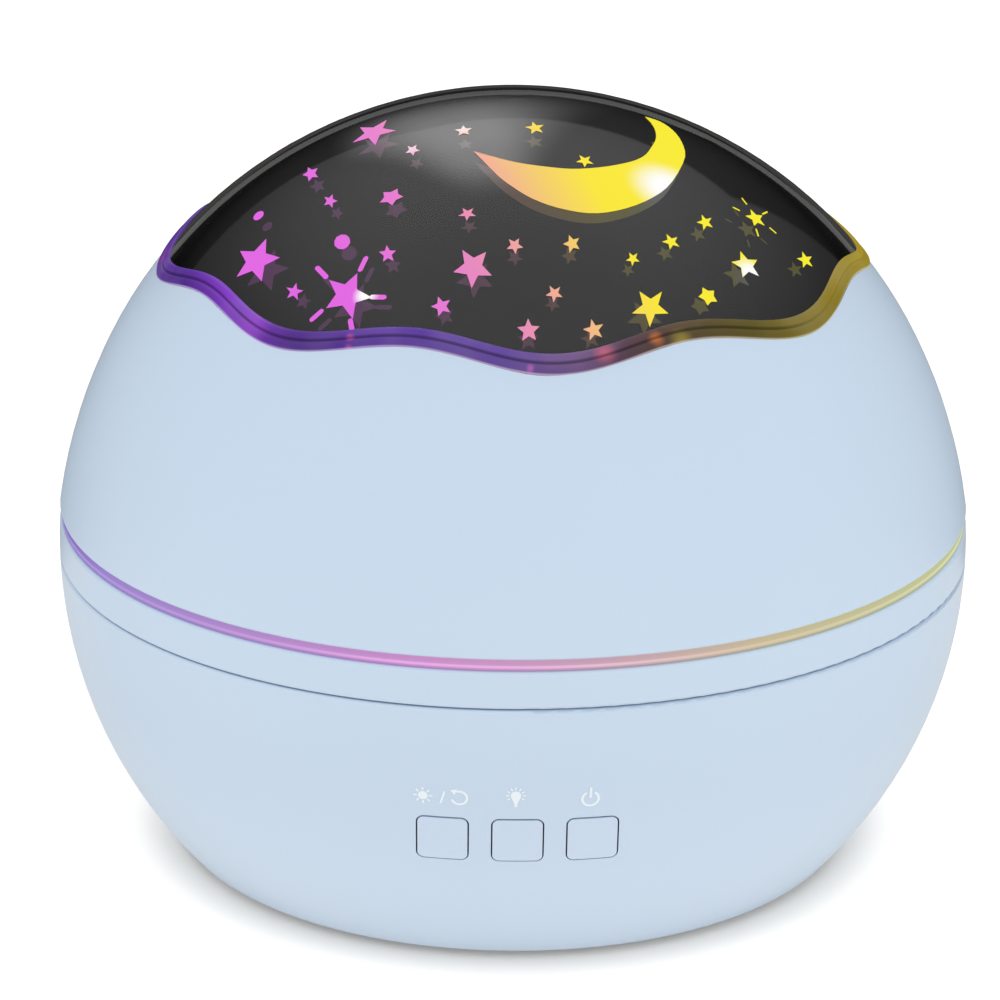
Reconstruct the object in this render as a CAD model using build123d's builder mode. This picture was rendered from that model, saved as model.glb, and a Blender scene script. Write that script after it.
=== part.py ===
from build123d import *
from math import acos, asin, cos, degrees, pi, radians, sin, sqrt, tan
import os

# Star night light projector: a ball that stands on a flat, with a fixed lower bowl and a dome
# that turns on top of it. The dome carries a clear window with a wavy edge over a black star
# film. Lamps in the middle throw the stars on the ceiling and light a ring round the ball.
# Millimetres, +Z up, feet on Z = 0, turning axis on Z, buttons facing -Y.

os.makedirs("parts", exist_ok=True)

# Ball
ball_radius = 65.0
flat_radius = 49.1
shell_wall = 2.2
floor_wall = 2.6
edge_round = 0.4
foot_stand = 1.0

# Split between bowl and deck, and the deck's band above it
split_drop = 0.5
split_gap = 0.2
tongue_wall = 1.6
tongue_height = 1.2
tongue_fit = 0.1
bead_height = 2.0
band_height = 5.2
deck_wall = 2.2
deck_rim = 1.7
deck_rib = 3.0
rib_wall = 1.2
rib_count = 8

# Running and fixed clearances
lift_gap = 0.25
bearing_fit = 0.1
pin_fit = 0.05
screw_fit = 0.05
press_fit = 0.02
part_gap = 0.1

# Light ring
ring_height = 1.4
ring_recess = 0.2
ring_width = 5.2
ring_groove = 0.5
lip_wall = 1.3
lip_height = 2.4

# Turning dome
dome_inset = 0.5
dome_wall = 1.8
skirt_stand = 0.15
skirt_angle = 27.0

# Wavy window
window_reach = 49.36
wave_height = 1.04
wave_count = 8
wave_turn = -84.4
window_wall = 1.5
rim_wall = 1.8
rim_groove_inset = 0.8
rim_groove_width = 0.2
rim_groove_depth = 0.3
flange_wall = 1.2
flange_width = 5.1
film_wall = 0.5
clip_wall = 1.2
clip_width = 12.0
clip_inset = 1.5
clip_lip = 4.0

# Turntable and its bearing
plate_wall = 2.0
hub_wall = 2.4
hub_drop = 1.95
hub_rise = 1.9
spigot_radius = 13.0
spigot_bore = 8.0
slot_count = 6
slot_width = 6.0
slot_span = 34.0

# Gear train
gear_module = 0.8
ring_teeth = 72
pinion_teeth = 14
pressure_angle = 20.0
gear_play = 0.1
gear_rim = 2.2
ring_addendum = 0.7
tooth_addendum = 1.0
tooth_dedendum = 1.25
gear_face = 2.85
pinion_gap = 0.3

# Support rollers
roller_count = 3
roller_turn = 0.0
roller_radius = 3.0
roller_width = 3.0
roller_inset = 14.45
roller_side = 0.3
roller_pin = 0.75
cheek_wall = 1.6
cheek_width = 5.0
cheek_height = 1.9

# Gear motor
gearbox_radius = 12.0
gearbox_height = 9.0
gearbox_drop = 4.0
ear_wall = 1.5
ear_width = 7.0
ear_pitch = 31.0
nose_radius = 4.0
nose_height = 3.0
can_radius = 10.0
can_height = 7.4
tab_length = 1.6
shaft_radius = 1.5
shaft_flat = 0.5
shaft_depth = 2.4

# Lamp
holder_radius = 17.5
holder_wall = 1.6
holder_rim = 1.5
board_wall = 1.6
lamp_board_radius = 12.5
lens_wall = 1.2
lens_skirt = 4.3
lamp_radius = 2.5
lamp_height = 4.0
lamp_flange = 0.4
lamp_pitch = 5.8
lamp_screw_reach = 10.5

# Cells (AAA), their box and its door
cell_radius = 5.25
cell_length = 44.5
cell_pitch = 10.9
cell_count = 4
cell_play = 0.2
contact_room = 6.0
contact_wall = 0.4
contact_width = 7.6
contact_bow = 3.4
contact_rise = 2.5
bay_margin = 0.3
box_wall = 1.5
box_roof = 1.7
door_wall = 1.6
door_ledge = 1.5
door_gap = 0.3
door_corner = 2.0
hook_width = 6.0
hook_wall = 1.25
hook_play = 0.5
hook_reach = 2.6
latch_width = 12.0
latch_wall = 1.2
latch_gap = 0.45
latch_bead = 0.2
latch_height = 3.0
notch_radius = 7.0
notch_depth = 0.9

# Case screws, posts and feet
post_inset = 7.1
post_turn = 30.0
post_radius = 4.2
post_height = 18.4
boss_radius = 3.6
foot_radius = 5.0
foot_sink = 0.8
foot_fit = 0.2
case_screw = 1.5
case_head = 2.8
small_screw = 1.1
small_head = 2.1
head_height = 1.6

# Keys
key_width = 6.6
key_height = 6.8
key_corner = 0.9
key_gap = 0.2
key_pitch = 9.9
key_drop = 20.4
key_stand = 0.1
key_travel = 0.8
key_flange = 1.0
key_flange_wall = 0.8
key_stem = 1.7
key_stem_length = 0.6
guide_wall = 1.5
plunger_stand = 0.9
switch_size = 6.0
switch_height = 3.5
key_board_margin = 1.8
key_board_height = 14.5
slot_depth = 1.0

# Main board and USB socket
chip_height = 1.5
pillar_radius = 2.6
main_board_width = 36.0
main_board_front = 8.0
main_board_back = 3.8
board_room = 0.5
pillar_span = 14.5
rear_post_span = 10.0
rear_post_inset = 5.6
usb_width = 7.6
usb_height = 2.9
usb_depth = 5.6
usb_skin = 0.3
port_width = 11.4
port_height = 7.2
port_corner = 1.6

# Shell screws of the turning dome
rotor_screw_inset = 5.1
rotor_boss_radius = 2.8
rotor_boss_height = 8.0
web_wall = 2.0

# Moulding and drilling habits that many pieces share
screw_clear = 0.2
head_clear = 0.3
blind_end = 2.0
post_draft = 0.5
screw_count = 3
lamp_turn = 90.0
small_screw_length = 5.0
low_head_height = 1.2
case_screw_length = 12.0
box_screw_length = 4.2
case_well_drop = 4.0
box_pilot_depth = 6.0
lamp_pilot = 7.0
motor_screw_bite = 0.8
cell_lift = 0.6
cell_cradle = 0.45
box_corner = 1.5
box_ear_room = 1.5
box_ear_height = 3.0
box_ear_wall = 1.6
box_ear_round = 1.4
hook_slot_room = 1.0
hook_slot_drop = 2.2
latch_lift = 0.8
grip_margin = 4.0
grip_width = 1.0
grip_depth = 0.5
key_guide_step = 0.3
key_guide_lap = 0.5
key_slot_room = 1.0
foot_round = 0.4
band_step = 0.5
roller_room = 1.2
roller_chamfer = 0.3
gearbox_chamfer = 0.6
shaft_room = 1.0
can_round = 1.2
can_dish_share = 0.3
can_tab_share = 0.6
can_tab_width = 0.5
can_tab_span = 2.0
lamp_foot = 1.0
lamp_crown_share = 0.9
spring_radius = 1.8
spring_length = 0.6
board_margin = 1.0
chip_width = 8.0
chip_length = 6.0
coil_radius = 2.5
coil_height = 5.4
part_pitch = 8.0
part_row = 4.5
part_width = 6.0
part_length = 4.0
part_height = 3.6
usb_inset = 0.2
usb_corner = 0.8
usb_mouth_corner = 0.5
usb_back = 0.8
usb_tongue_front = 0.6
usb_tongue_rise = 0.2
usb_tongue_share = 0.55
usb_tongue_wall = 0.7
usb_tongue_back = 1.0
switch_press = 0.4

# Heights that follow from these
centre_z = foot_stand + sqrt(ball_radius**2 - flat_radius**2)
floor_top = foot_stand + floor_wall
inner_radius = ball_radius - shell_wall
split_z = centre_z - split_drop
bowl_top = split_z - split_gap / 2
band_low = split_z + split_gap / 2
band_top = split_z + band_height
deck_top = band_top - deck_rim
deck_low = deck_top - deck_wall
ring_low = band_top + lift_gap
ring_top = ring_low + ring_height
plate_top = ring_top + plate_wall
spigot_top = plate_top + hub_rise + lift_gap
holder_top = spigot_top + holder_wall
roller_z = ring_top - pinion_gap - roller_radius
gear_low = ring_top - gear_face

# Reaches from the turning axis
dome_radius = ball_radius - dome_inset
flange_reach = window_reach + flange_width
clip_far = flange_reach - clip_inset
clip_near = clip_far - clip_width
post_reach = flat_radius - post_inset
post_grid = 2 * post_reach * cos(radians(post_turn)), 2 * post_reach * sin(radians(post_turn)), 2, 2
hub_radius = spigot_radius + bearing_fit
hub_outer = hub_radius + hub_wall
ring_pitch = gear_module * ring_teeth / 2
pinion_pitch = gear_module * pinion_teeth / 2
motor_reach = ring_pitch - pinion_pitch
gear_outer = ring_pitch + tooth_dedendum * gear_module + gear_rim


def ball_reach(radius, height):
    """Distance from the axis at which a ball about the centre passes a height."""
    return sqrt(radius**2 - (height - centre_z) ** 2)


def rise_angle(radius, reach):
    """Angle above the horizontal at which a ball passes a distance from the axis."""
    return degrees(acos(reach / radius))


lip_outer = ball_reach(ball_radius, ring_top) - shell_wall - pin_fit
plate_edge = lip_outer - lip_wall - pin_fit
skirt_reach = ball_reach(ball_radius, ring_top) + skirt_stand
rotor_screw_reach = plate_edge - rotor_screw_inset
roller_reach = plate_edge - roller_inset
bay_width = cell_count * cell_pitch + 2 * bay_margin
bay_length = cell_length + contact_room
bay_half = bay_length / 2
cell_z = foot_stand + door_wall + cell_lift + cell_radius
box_top = cell_z + cell_radius + cell_play + box_roof
gearbox_top = deck_low - gearbox_drop
gearbox_low = gearbox_top - gearbox_height
can_low = gearbox_low - can_height
board_top = can_low - tab_length - chip_height - board_room
board_low = board_top - board_wall
pillar_height = board_low - box_top
board_screw_length = board_wall + pillar_height - screw_clear
key_board_width = 2 * (key_pitch + key_width / 2 + key_flange + key_board_margin)
usb_z = board_top + usb_height / 2
key_z = centre_z - key_drop
joint_z = floor_top + post_height


def layer_face(outer, inner, near, far):
    """Section of a ball-shaped skin between two distances from the axis."""
    outer_start, outer_end = rise_angle(outer, far), rise_angle(outer, near)
    inner_start, inner_end = rise_angle(inner, far), rise_angle(inner, near)
    with BuildSketch() as section:
        with BuildLine():
            skin = CenterArc((0, centre_z), outer, outer_start, outer_end - outer_start)
            hollow = CenterArc((0, centre_z), inner, inner_start, inner_end - inner_start)
            Line(skin @ 0, hollow @ 0)
            Line(skin @ 1, hollow @ 1)
        make_face()
    return section.sketch


def wavy_face(reach):
    """Round outline whose reach swings in and out once for each wave."""
    points = []
    for step in range(4 * wave_count):
        angle = radians(wave_turn) + step * pi / (2 * wave_count)
        swing = reach + wave_height * cos(step * pi / 2)
        points.append((swing * cos(angle), swing * sin(angle)))
    with BuildSketch() as outline:
        with BuildLine():
            Spline(*points, periodic=True)
        make_face()
    return outline.sketch


def toothed_face(teeth, root, tip, widen):
    """Spur gear outline with involute flanks, its first tooth on +X."""
    pitch = gear_module * teeth / 2
    base = pitch * cos(radians(pressure_angle))

    def half_angle(radius):
        slope = acos(min(1.0, base / radius))
        standard = radians(pressure_angle)
        return pi / (2 * teeth) + widen / (2 * pitch) + tan(standard) - standard - tan(slope) + slope

    def place(radius, angle):
        return (radius * cos(angle), radius * sin(angle))

    start = max(root, base)
    middle = (start + tip) / 2
    foot = half_angle(start)
    with BuildSketch() as wheel:
        with BuildLine():
            for tooth in range(teeth):
                turn = 2 * pi * tooth / teeth
                after = turn + 2 * pi / teeth
                if start > root:
                    Line(place(root, turn - foot), place(start, turn - foot))
                    Line(place(start, turn + foot), place(root, turn + foot))
                ThreePointArc(
                    place(start, turn - foot),
                    place(middle, turn - half_angle(middle)),
                    place(tip, turn - half_angle(tip)),
                )
                Line(place(tip, turn - half_angle(tip)), place(tip, turn + half_angle(tip)))
                ThreePointArc(
                    place(tip, turn + half_angle(tip)),
                    place(middle, turn + half_angle(middle)),
                    place(start, turn + foot),
                )
                Line(place(root, turn + foot), place(root, after - foot))
        make_face()
    return wheel.sketch


def make_screw(head, height, shank, length):
    """Pan-head screw, head below and point up, with the head's seat at its origin."""
    with BuildPart() as screw:
        with BuildSketch(Plane.XZ):
            with BuildLine():
                Polyline((0, -height), (head * 0.7, -height), (head, -height * 0.5), (head, 0))
                Polyline((head, 0), (shank, 0), (shank, length - shank), (0, length), (0, -height))
            make_face()
        revolve(axis=Axis.Z)
        with BuildSketch(Plane.XY.offset(-height)):
            Rectangle(head * 1.1, head * 0.25)
            Rectangle(head * 0.25, head * 1.1)
        extrude(amount=height * 0.5, mode=Mode.SUBTRACT)
    return screw.part


# Bowl
with BuildPart() as key_guide:
    # How far back the guide must lie for the key flanges to clear the curved wall.
    flange_low = key_z - key_height / 2 - key_flange
    flange_side = key_pitch + key_width / 2 + key_flange
    guide_y = sqrt(ball_reach(inner_radius, flange_low) ** 2 - flange_side**2) - key_guide_step
    guide_width = 2 * (key_pitch + key_width / 2 + key_gap + guide_wall)
    guide_height = key_height + 2 * key_gap + 2 * guide_wall
    with BuildSketch(Plane.XZ.offset(guide_y)):
        with Locations((0, key_z)):
            Rectangle(guide_width, guide_height)
    extrude(amount=ball_radius)
    # Slotted ribs on each side, which hold the key board.
    switch_front = guide_y - key_flange_wall - key_stem_length - plunger_stand
    key_board_front = switch_front - switch_height
    key_board_low = key_z - key_board_height / 2
    rib_low = key_board_low - guide_wall
    rib_centre = key_board_width / 2 + guide_wall / 2
    with BuildSketch(Plane.XZ.offset(key_board_front - board_wall - guide_wall)):
        with Locations((-rib_centre, key_z - guide_wall / 2), (rib_centre, key_z - guide_wall / 2)):
            Rectangle(guide_wall + 2 * slot_depth, key_board_height + guide_wall)
    extrude(amount=ball_radius)
    with Locations((0, 0, centre_z)):
        Sphere(ball_radius - shell_wall / 2, mode=Mode.INTERSECT)

with BuildPart() as base_shell:
    with BuildSketch(Plane.XZ) as bowl_profile:
        low_angle = -rise_angle(ball_radius, flat_radius)
        high_angle = degrees(asin((bowl_top - centre_z) / ball_radius))
        bead_low = bowl_top - bead_height
        neck_low = bead_low - 2 * tongue_wall
        tongue_outer = inner_radius - tongue_fit / 2
        tongue_inner = tongue_outer - tongue_wall
        neck_angle = degrees(asin((neck_low - centre_z) / inner_radius))
        floor_angle = degrees(asin((floor_top - centre_z) / inner_radius))
        with BuildLine():
            outside = CenterArc((0, centre_z), ball_radius, low_angle, high_angle - low_angle)
            inside = CenterArc((0, centre_z), inner_radius, floor_angle, neck_angle - floor_angle)
            Polyline(
                outside @ 1,
                (tongue_outer, bowl_top),
                (tongue_outer, bowl_top + tongue_height),
                (tongue_inner, bowl_top + tongue_height),
                (tongue_inner, bead_low),
                inside @ 1,
            )
            Polyline(inside @ 0, (0, floor_top), (0, foot_stand), outside @ 0)
        make_face()
        fillet(bowl_profile.vertices().sort_by(Axis.X)[-1], edge_round)
    revolve(axis=Axis.Z)
    add(key_guide.part)
    # Posts under the deck's bosses, and bosses for the cell box and the board's rear end.
    with BuildSketch(Plane.XY.offset(floor_top)):
        with GridLocations(*post_grid):
            Circle(post_radius)
    extrude(amount=post_height, taper=post_draft)
    rear_post_y = ball_reach(inner_radius, floor_top) - rear_post_inset
    ear_reach = bay_width / 2 + box_wall + small_head + box_ear_room
    ear_low = floor_top + box_ear_height
    with BuildSketch(Plane.XY.offset(floor_top)):
        with Locations((-rear_post_span, rear_post_y), (rear_post_span, rear_post_y)):
            Circle(pillar_radius)
    extrude(amount=board_low - floor_top)
    with BuildSketch(Plane.XY.offset(floor_top)):
        with Locations((-ear_reach, 0), (ear_reach, 0)):
            Circle(pillar_radius)
    extrude(amount=ear_low - floor_top)
    # Door rebate, and the mouth of the cell bay above it.
    ledge_low = foot_stand + door_wall + part_gap
    rebate_width = bay_width + 2 * door_ledge
    rebate_length = bay_length + 2 * door_ledge
    with BuildSketch(Plane.XY.offset(foot_stand)):
        RectangleRounded(rebate_width, rebate_length, door_corner)
    extrude(amount=ledge_low - foot_stand, mode=Mode.SUBTRACT)
    with BuildSketch(Plane.XY.offset(ledge_low)):
        Rectangle(bay_width, bay_length)
    extrude(amount=floor_wall, mode=Mode.SUBTRACT)
    # Finger notch beside the door's latch.
    with BuildSketch(Plane.XY.offset(foot_stand)):
        with Locations((0, -rebate_length / 2)):
            Circle(notch_radius)
    extrude(amount=notch_depth, mode=Mode.SUBTRACT)
    # Foot seats with the screw wells above them.
    seat_top = foot_stand + foot_sink
    well_top = joint_z - case_well_drop
    with BuildSketch(Plane.XY.offset(foot_stand)):
        with GridLocations(*post_grid):
            Circle(foot_radius + foot_fit)
    extrude(amount=foot_sink, mode=Mode.SUBTRACT)
    with BuildSketch(Plane.XY.offset(seat_top)):
        with GridLocations(*post_grid):
            Circle(case_head + head_clear)
    extrude(amount=well_top - seat_top, mode=Mode.SUBTRACT)
    with BuildSketch(Plane.XY.offset(well_top)):
        with GridLocations(*post_grid):
            Circle(case_screw + screw_clear)
    extrude(amount=joint_z - well_top, mode=Mode.SUBTRACT)
    with BuildSketch(Plane.XY.offset(board_low - box_pilot_depth)):
        with Locations((-rear_post_span, rear_post_y), (rear_post_span, rear_post_y)):
            Circle(small_screw + screw_fit)
    extrude(amount=box_pilot_depth, mode=Mode.SUBTRACT)
    with BuildSketch(Plane.XY.offset(floor_top)):
        with Locations((-ear_reach, 0), (ear_reach, 0)):
            Circle(small_screw + screw_fit)
    extrude(amount=ear_low - floor_top, mode=Mode.SUBTRACT)
    # Key holes, drawn straight back so that the keys slide level.
    with BuildSketch(Plane.XZ.offset(guide_y - key_guide_lap)):
        with Locations((-key_pitch, key_z), (0, key_z), (key_pitch, key_z)):
            RectangleRounded(key_width + 2 * key_gap, key_height + 2 * key_gap, key_corner + key_gap)
    extrude(amount=ball_radius, mode=Mode.SUBTRACT)
    # Board slots in the ribs, open at the top.
    with BuildSketch(Plane.XY.offset(key_board_low)):
        with Locations((0, -(key_board_front - board_wall / 2))):
            Rectangle(key_board_width + 2 * part_gap, board_wall + 2 * part_gap)
    extrude(amount=key_board_height + key_slot_room, mode=Mode.SUBTRACT)
    # USB port through the rear wall.
    with BuildSketch(Plane.XZ.offset(-flat_radius)):
        with Locations((0, usb_z)):
            RectangleRounded(port_width, port_height, port_corner)
    extrude(amount=-ball_radius, mode=Mode.SUBTRACT)

# Rubber feet, which also hide the case screws
with BuildPart() as rubber_feet:
    with BuildSketch():
        with GridLocations(*post_grid):
            Circle(foot_radius)
    extrude(amount=foot_stand + foot_sink)
    fillet(rubber_feet.edges().group_by(Axis.Z)[0], foot_round)

single_case_screw = make_screw(case_head, head_height, case_screw, case_screw_length)
with BuildPart() as case_screws:
    with Locations((0, 0, well_top)):
        with GridLocations(*post_grid):
            add(single_case_screw)

# Deck: the fixed band round the ball, the plate under the dome and the dome's bearing
with BuildPart() as deck:
    with BuildSketch(Plane.XZ) as deck_profile:
        band_inner = inner_radius + tongue_fit / 2
        band_start = degrees(asin((band_low - centre_z) / ball_radius))
        band_end = degrees(asin((band_top - centre_z) / ball_radius))
        with BuildLine():
            outside = CenterArc((0, centre_z), ball_radius, band_start, band_end - band_start)
            Polyline(
                outside @ 1,
                (band_inner - band_step, band_top),
                (band_inner - band_step, deck_top),
                (spigot_radius, deck_top),
                (spigot_radius, spigot_top),
                (spigot_bore, spigot_top),
                (spigot_bore, deck_low),
                (band_inner, deck_low),
                (band_inner, band_low),
                outside @ 0,
            )
        make_face()
        fillet(deck_profile.vertices().group_by(Axis.X)[-1], edge_round)
        fillet(deck_profile.vertices().group_by(Axis.X)[-2], edge_round)
    revolve(axis=Axis.Z)
    # Stiffening ribs under the plate.
    with BuildSketch(Plane.XY.offset(deck_low)):
        with PolarLocations(0, rib_count, start_angle=180 / rib_count):
            with Locations(((spigot_bore + 2 + tongue_inner - 1) / 2, 0)):
                Rectangle(tongue_inner - 1 - spigot_bore - 2, rib_wall)
    extrude(amount=-deck_rib)
    # Bosses over the bowl's posts, and bosses for the gear motor.
    with BuildSketch(Plane.XY.offset(deck_low)):
        with GridLocations(*post_grid):
            Circle(boss_radius)
    extrude(amount=joint_z - deck_low, taper=-post_draft)
    with BuildSketch(Plane.XY.offset(deck_low)):
        with Locations((-ear_pitch / 2, motor_reach), (ear_pitch / 2, motor_reach)):
            Circle(pillar_radius)
    extrude(amount=-gearbox_drop)
    # Cheeks of the support rollers and the windows that they turn in.
    roller_angles = [roller_turn + 360 * turn / roller_count for turn in range(roller_count)]
    cheek_place = (roller_width + cheek_wall) / 2 + roller_side
    for angle in roller_angles:
        outward = Vector(cos(radians(angle)), sin(radians(angle)), 0)
        seat = Plane(outward * roller_reach + Vector(0, 0, deck_top), x_dir=outward, z_dir=(0, 0, 1))
        with BuildSketch(seat):
            with Locations((-cheek_place, 0), (cheek_place, 0)):
                Rectangle(cheek_wall, cheek_width)
        extrude(amount=cheek_height)
        with BuildSketch(seat.offset(-deck_wall)):
            Rectangle(roller_width + 2 * roller_side, 2 * roller_radius + roller_room)
        extrude(amount=deck_wall, mode=Mode.SUBTRACT)
        pin_start = outward * (roller_reach - cheek_place - cheek_wall) + Vector(0, 0, roller_z)
        with BuildSketch(Plane(pin_start, z_dir=outward)):
            Circle(roller_pin + press_fit)
        extrude(amount=2 * (cheek_place + cheek_wall), mode=Mode.SUBTRACT)
    # Holes: motor shaft, lamp screws, motor screws and case screws.
    with BuildSketch(Plane.XY.offset(deck_low)):
        with Locations((0, motor_reach)):
            Circle(nose_radius + head_clear)
    extrude(amount=deck_wall, mode=Mode.SUBTRACT)
    with BuildSketch(Plane.XY.offset(spigot_top - lamp_pilot)):
        with PolarLocations(lamp_screw_reach, screw_count, start_angle=lamp_turn):
            Circle(small_screw + screw_fit)
    extrude(amount=lamp_pilot, mode=Mode.SUBTRACT)
    motor_pilot = gearbox_drop + motor_screw_bite
    with BuildSketch(Plane.XY.offset(deck_low - gearbox_drop)):
        with Locations((-ear_pitch / 2, motor_reach), (ear_pitch / 2, motor_reach)):
            Circle(small_screw + screw_fit)
    extrude(amount=motor_pilot, mode=Mode.SUBTRACT)
    case_pilot = case_screw_length - blind_end
    with BuildSketch(Plane.XY.offset(joint_z)):
        with GridLocations(*post_grid):
            Circle(case_screw + screw_fit)
    extrude(amount=case_pilot, mode=Mode.SUBTRACT)

# Support rollers and their pins
rollers = []
for angle in roller_angles:
    outward = Vector(cos(radians(angle)), sin(radians(angle)), 0)
    roller_start = outward * (roller_reach - roller_width / 2) + Vector(0, 0, roller_z)
    with BuildPart() as roller:
        with BuildSketch(Plane(roller_start, z_dir=outward)):
            Circle(roller_radius)
            Circle(roller_pin + pin_fit, mode=Mode.SUBTRACT)
        extrude(amount=roller_width)
        chamfer(roller.edges().filter_by(GeomType.CIRCLE).sort_by(SortBy.RADIUS)[-2:], roller_chamfer)
    rollers.append(roller.part)

with BuildPart() as roller_pins:
    for angle in roller_angles:
        outward = Vector(cos(radians(angle)), sin(radians(angle)), 0)
        pin_start = outward * (roller_reach - cheek_place - cheek_wall / 2) + Vector(0, 0, roller_z)
        with BuildSketch(Plane(pin_start, z_dir=outward)):
            Circle(roller_pin)
        extrude(amount=2 * cheek_place + cheek_wall)

# Gear motor under the deck, its shaft and the pinion above the deck
bush_low = gearbox_top - shaft_depth
pinion_top = ring_top - pinion_gap
pinion_low = gear_low + part_gap

with BuildPart() as gearbox:
    with BuildSketch(Plane.XY.offset(gearbox_low)):
        with Locations((0, motor_reach)):
            Circle(gearbox_radius)
    extrude(amount=gearbox_height)
    chamfer(gearbox.edges().group_by(Axis.Z)[0], gearbox_chamfer)
    with BuildSketch(Plane.XY.offset(gearbox_top - ear_wall)):
        with Locations((0, motor_reach)):
            SlotCenterToCenter(ear_pitch, ear_width)
    extrude(amount=ear_wall)
    with BuildSketch(Plane.XY.offset(gearbox_top)):
        with Locations((0, motor_reach)):
            Circle(nose_radius)
    extrude(amount=nose_height)
    with BuildSketch(Plane.XY.offset(gearbox_top - ear_wall)):
        with Locations((-ear_pitch / 2, motor_reach), (ear_pitch / 2, motor_reach)):
            Circle(small_screw + screw_clear)
    extrude(amount=ear_wall, mode=Mode.SUBTRACT)
    with BuildSketch(Plane.XY.offset(bush_low - pin_fit)):
        with Locations((0, motor_reach)):
            Circle(shaft_radius + pin_fit)
    extrude(amount=shaft_depth + nose_height + shaft_room, mode=Mode.SUBTRACT)

with BuildPart() as motor_can:
    with BuildSketch(Plane.XY.offset(gearbox_low)):
        with Locations((0, motor_reach)):
            Circle(can_radius)
    extrude(amount=-can_height)
    fillet(motor_can.edges().group_by(Axis.Z)[0], can_round)
    with BuildSketch(Plane.XY.offset(can_low)):
        with Locations((0, motor_reach)):
            Circle(can_dish_share * can_radius)
    extrude(amount=-tab_length / 2)
    # Solder tabs beside the can's end.
    with BuildSketch(Plane.XY.offset(can_low)):
        tab_reach = can_tab_share * can_radius
        with Locations((-tab_reach, motor_reach), (tab_reach, motor_reach)):
            Rectangle(can_tab_width, can_tab_span)
    extrude(amount=-tab_length)

with BuildPart() as motor_shaft:
    with BuildSketch(Plane.XY.offset(bush_low)):
        with Locations((0, motor_reach)):
            Circle(shaft_radius)
    extrude(amount=pinion_top - bush_low)
    with BuildSketch(Plane.XY.offset(pinion_low)):
        with Locations((0, motor_reach - 2 * shaft_radius + shaft_flat)):
            Rectangle(2 * shaft_radius, 2 * shaft_radius)
    extrude(amount=pinion_top - pinion_low, mode=Mode.SUBTRACT)

with BuildPart() as drive_pinion:
    with BuildSketch(Plane(origin=(0, motor_reach, pinion_low), x_dir=(0, 1, 0), z_dir=(0, 0, 1))):
        pinion_root = pinion_pitch - tooth_dedendum * gear_module
        pinion_tip = pinion_pitch + tooth_addendum * gear_module
        add(toothed_face(pinion_teeth, pinion_root, pinion_tip, -gear_play))
    extrude(amount=pinion_top - pinion_low)
    with BuildSketch(Plane.XY.offset(pinion_low)):
        with Locations((0, motor_reach)):
            Circle(shaft_radius + press_fit)
        with Locations((0, motor_reach - 2 * shaft_radius + shaft_flat - press_fit)):
            Rectangle(2 * shaft_radius, 2 * shaft_radius, mode=Mode.SUBTRACT)
    extrude(amount=pinion_top - pinion_low, mode=Mode.SUBTRACT)

single_small_screw = make_screw(small_head, head_height, small_screw, small_screw_length)
with BuildPart() as motor_screws:
    with Locations((0, 0, gearbox_top - ear_wall)):
        with Locations((-ear_pitch / 2, motor_reach, 0), (ear_pitch / 2, motor_reach, 0)):
            add(single_small_screw)

# Turntable with the internal ring gear
with BuildPart() as turntable:
    with BuildSketch(Plane.XZ):
        gear_tip = ring_pitch - ring_addendum * gear_module
        with BuildLine():
            Polyline(
                (hub_radius, ring_top - hub_drop),
                (hub_outer, ring_top - hub_drop),
                (hub_outer, ring_top),
                (gear_tip, ring_top),
                (gear_tip, gear_low),
                (gear_outer, gear_low),
                (gear_outer, ring_top),
                (plate_edge, ring_top),
                (plate_edge, plate_top),
                (hub_outer, plate_top),
                (hub_outer, plate_top + hub_rise),
                (hub_radius, plate_top + hub_rise),
                close=True,
            )
        make_face()
    revolve(axis=Axis.Z)
    # Tooth spaces, with one of them on the pinion's side.
    with BuildSketch(Plane(origin=(0, 0, gear_low), x_dir=(0, 1, 0), z_dir=(0, 0, 1))):
        space_root = ring_pitch + tooth_dedendum * gear_module
        add(toothed_face(ring_teeth, gear_tip - 0.5 * gear_module, space_root, gear_play))
        Circle(gear_tip - gear_module, mode=Mode.SUBTRACT)
    extrude(amount=gear_face, mode=Mode.SUBTRACT)
    # Curved light slots between the gear and the rollers' track.
    slot_reach = (gear_outer + roller_reach - roller_width / 2) / 2
    with BuildSketch(Plane.XY.offset(ring_top)):
        with PolarLocations(0, slot_count):
            SlotArc(CenterArc((0, 0), slot_reach, -slot_span / 2, slot_span), slot_width)
    extrude(amount=plate_wall, mode=Mode.SUBTRACT)
    # Ribs on top, between the slots.
    with BuildSketch(Plane.XY.offset(plate_top)):
        rib_start = hub_outer - hub_wall / 2
        rib_end = plate_edge - lip_wall
        with PolarLocations(0, slot_count, start_angle=180 / slot_count):
            with Locations(((rib_start + rib_end) / 2, 0)):
                Rectangle(rib_end - rib_start, rib_wall)
    extrude(amount=hub_rise)
    with BuildSketch(Plane.XY.offset(ring_top)):
        with PolarLocations(rotor_screw_reach, screw_count):
            Circle(small_screw + screw_clear)
    extrude(amount=plate_wall, mode=Mode.SUBTRACT)

# Light ring between band and dome
with BuildPart() as light_ring:
    with BuildSketch(Plane.XZ) as ring_profile:
        ring_outer = ball_reach(ball_radius, (ring_low + ring_top) / 2) - ring_recess
        ring_inner = ring_outer - ring_width
        middle_z = (ring_low + ring_top) / 2
        with BuildLine():
            Polyline(
                (ring_inner, ring_low),
                (ring_outer, ring_low),
                (ring_outer, middle_z),
                (ring_outer - ring_groove, middle_z),
                (ring_outer - ring_groove, ring_top),
                (lip_outer, ring_top),
                (lip_outer, ring_top + lip_height),
                (lip_outer - lip_wall, ring_top + lip_height),
                (lip_outer - lip_wall, ring_top),
                (ring_inner, ring_top),
                close=True,
            )
        make_face()
    revolve(axis=Axis.Z)

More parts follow.
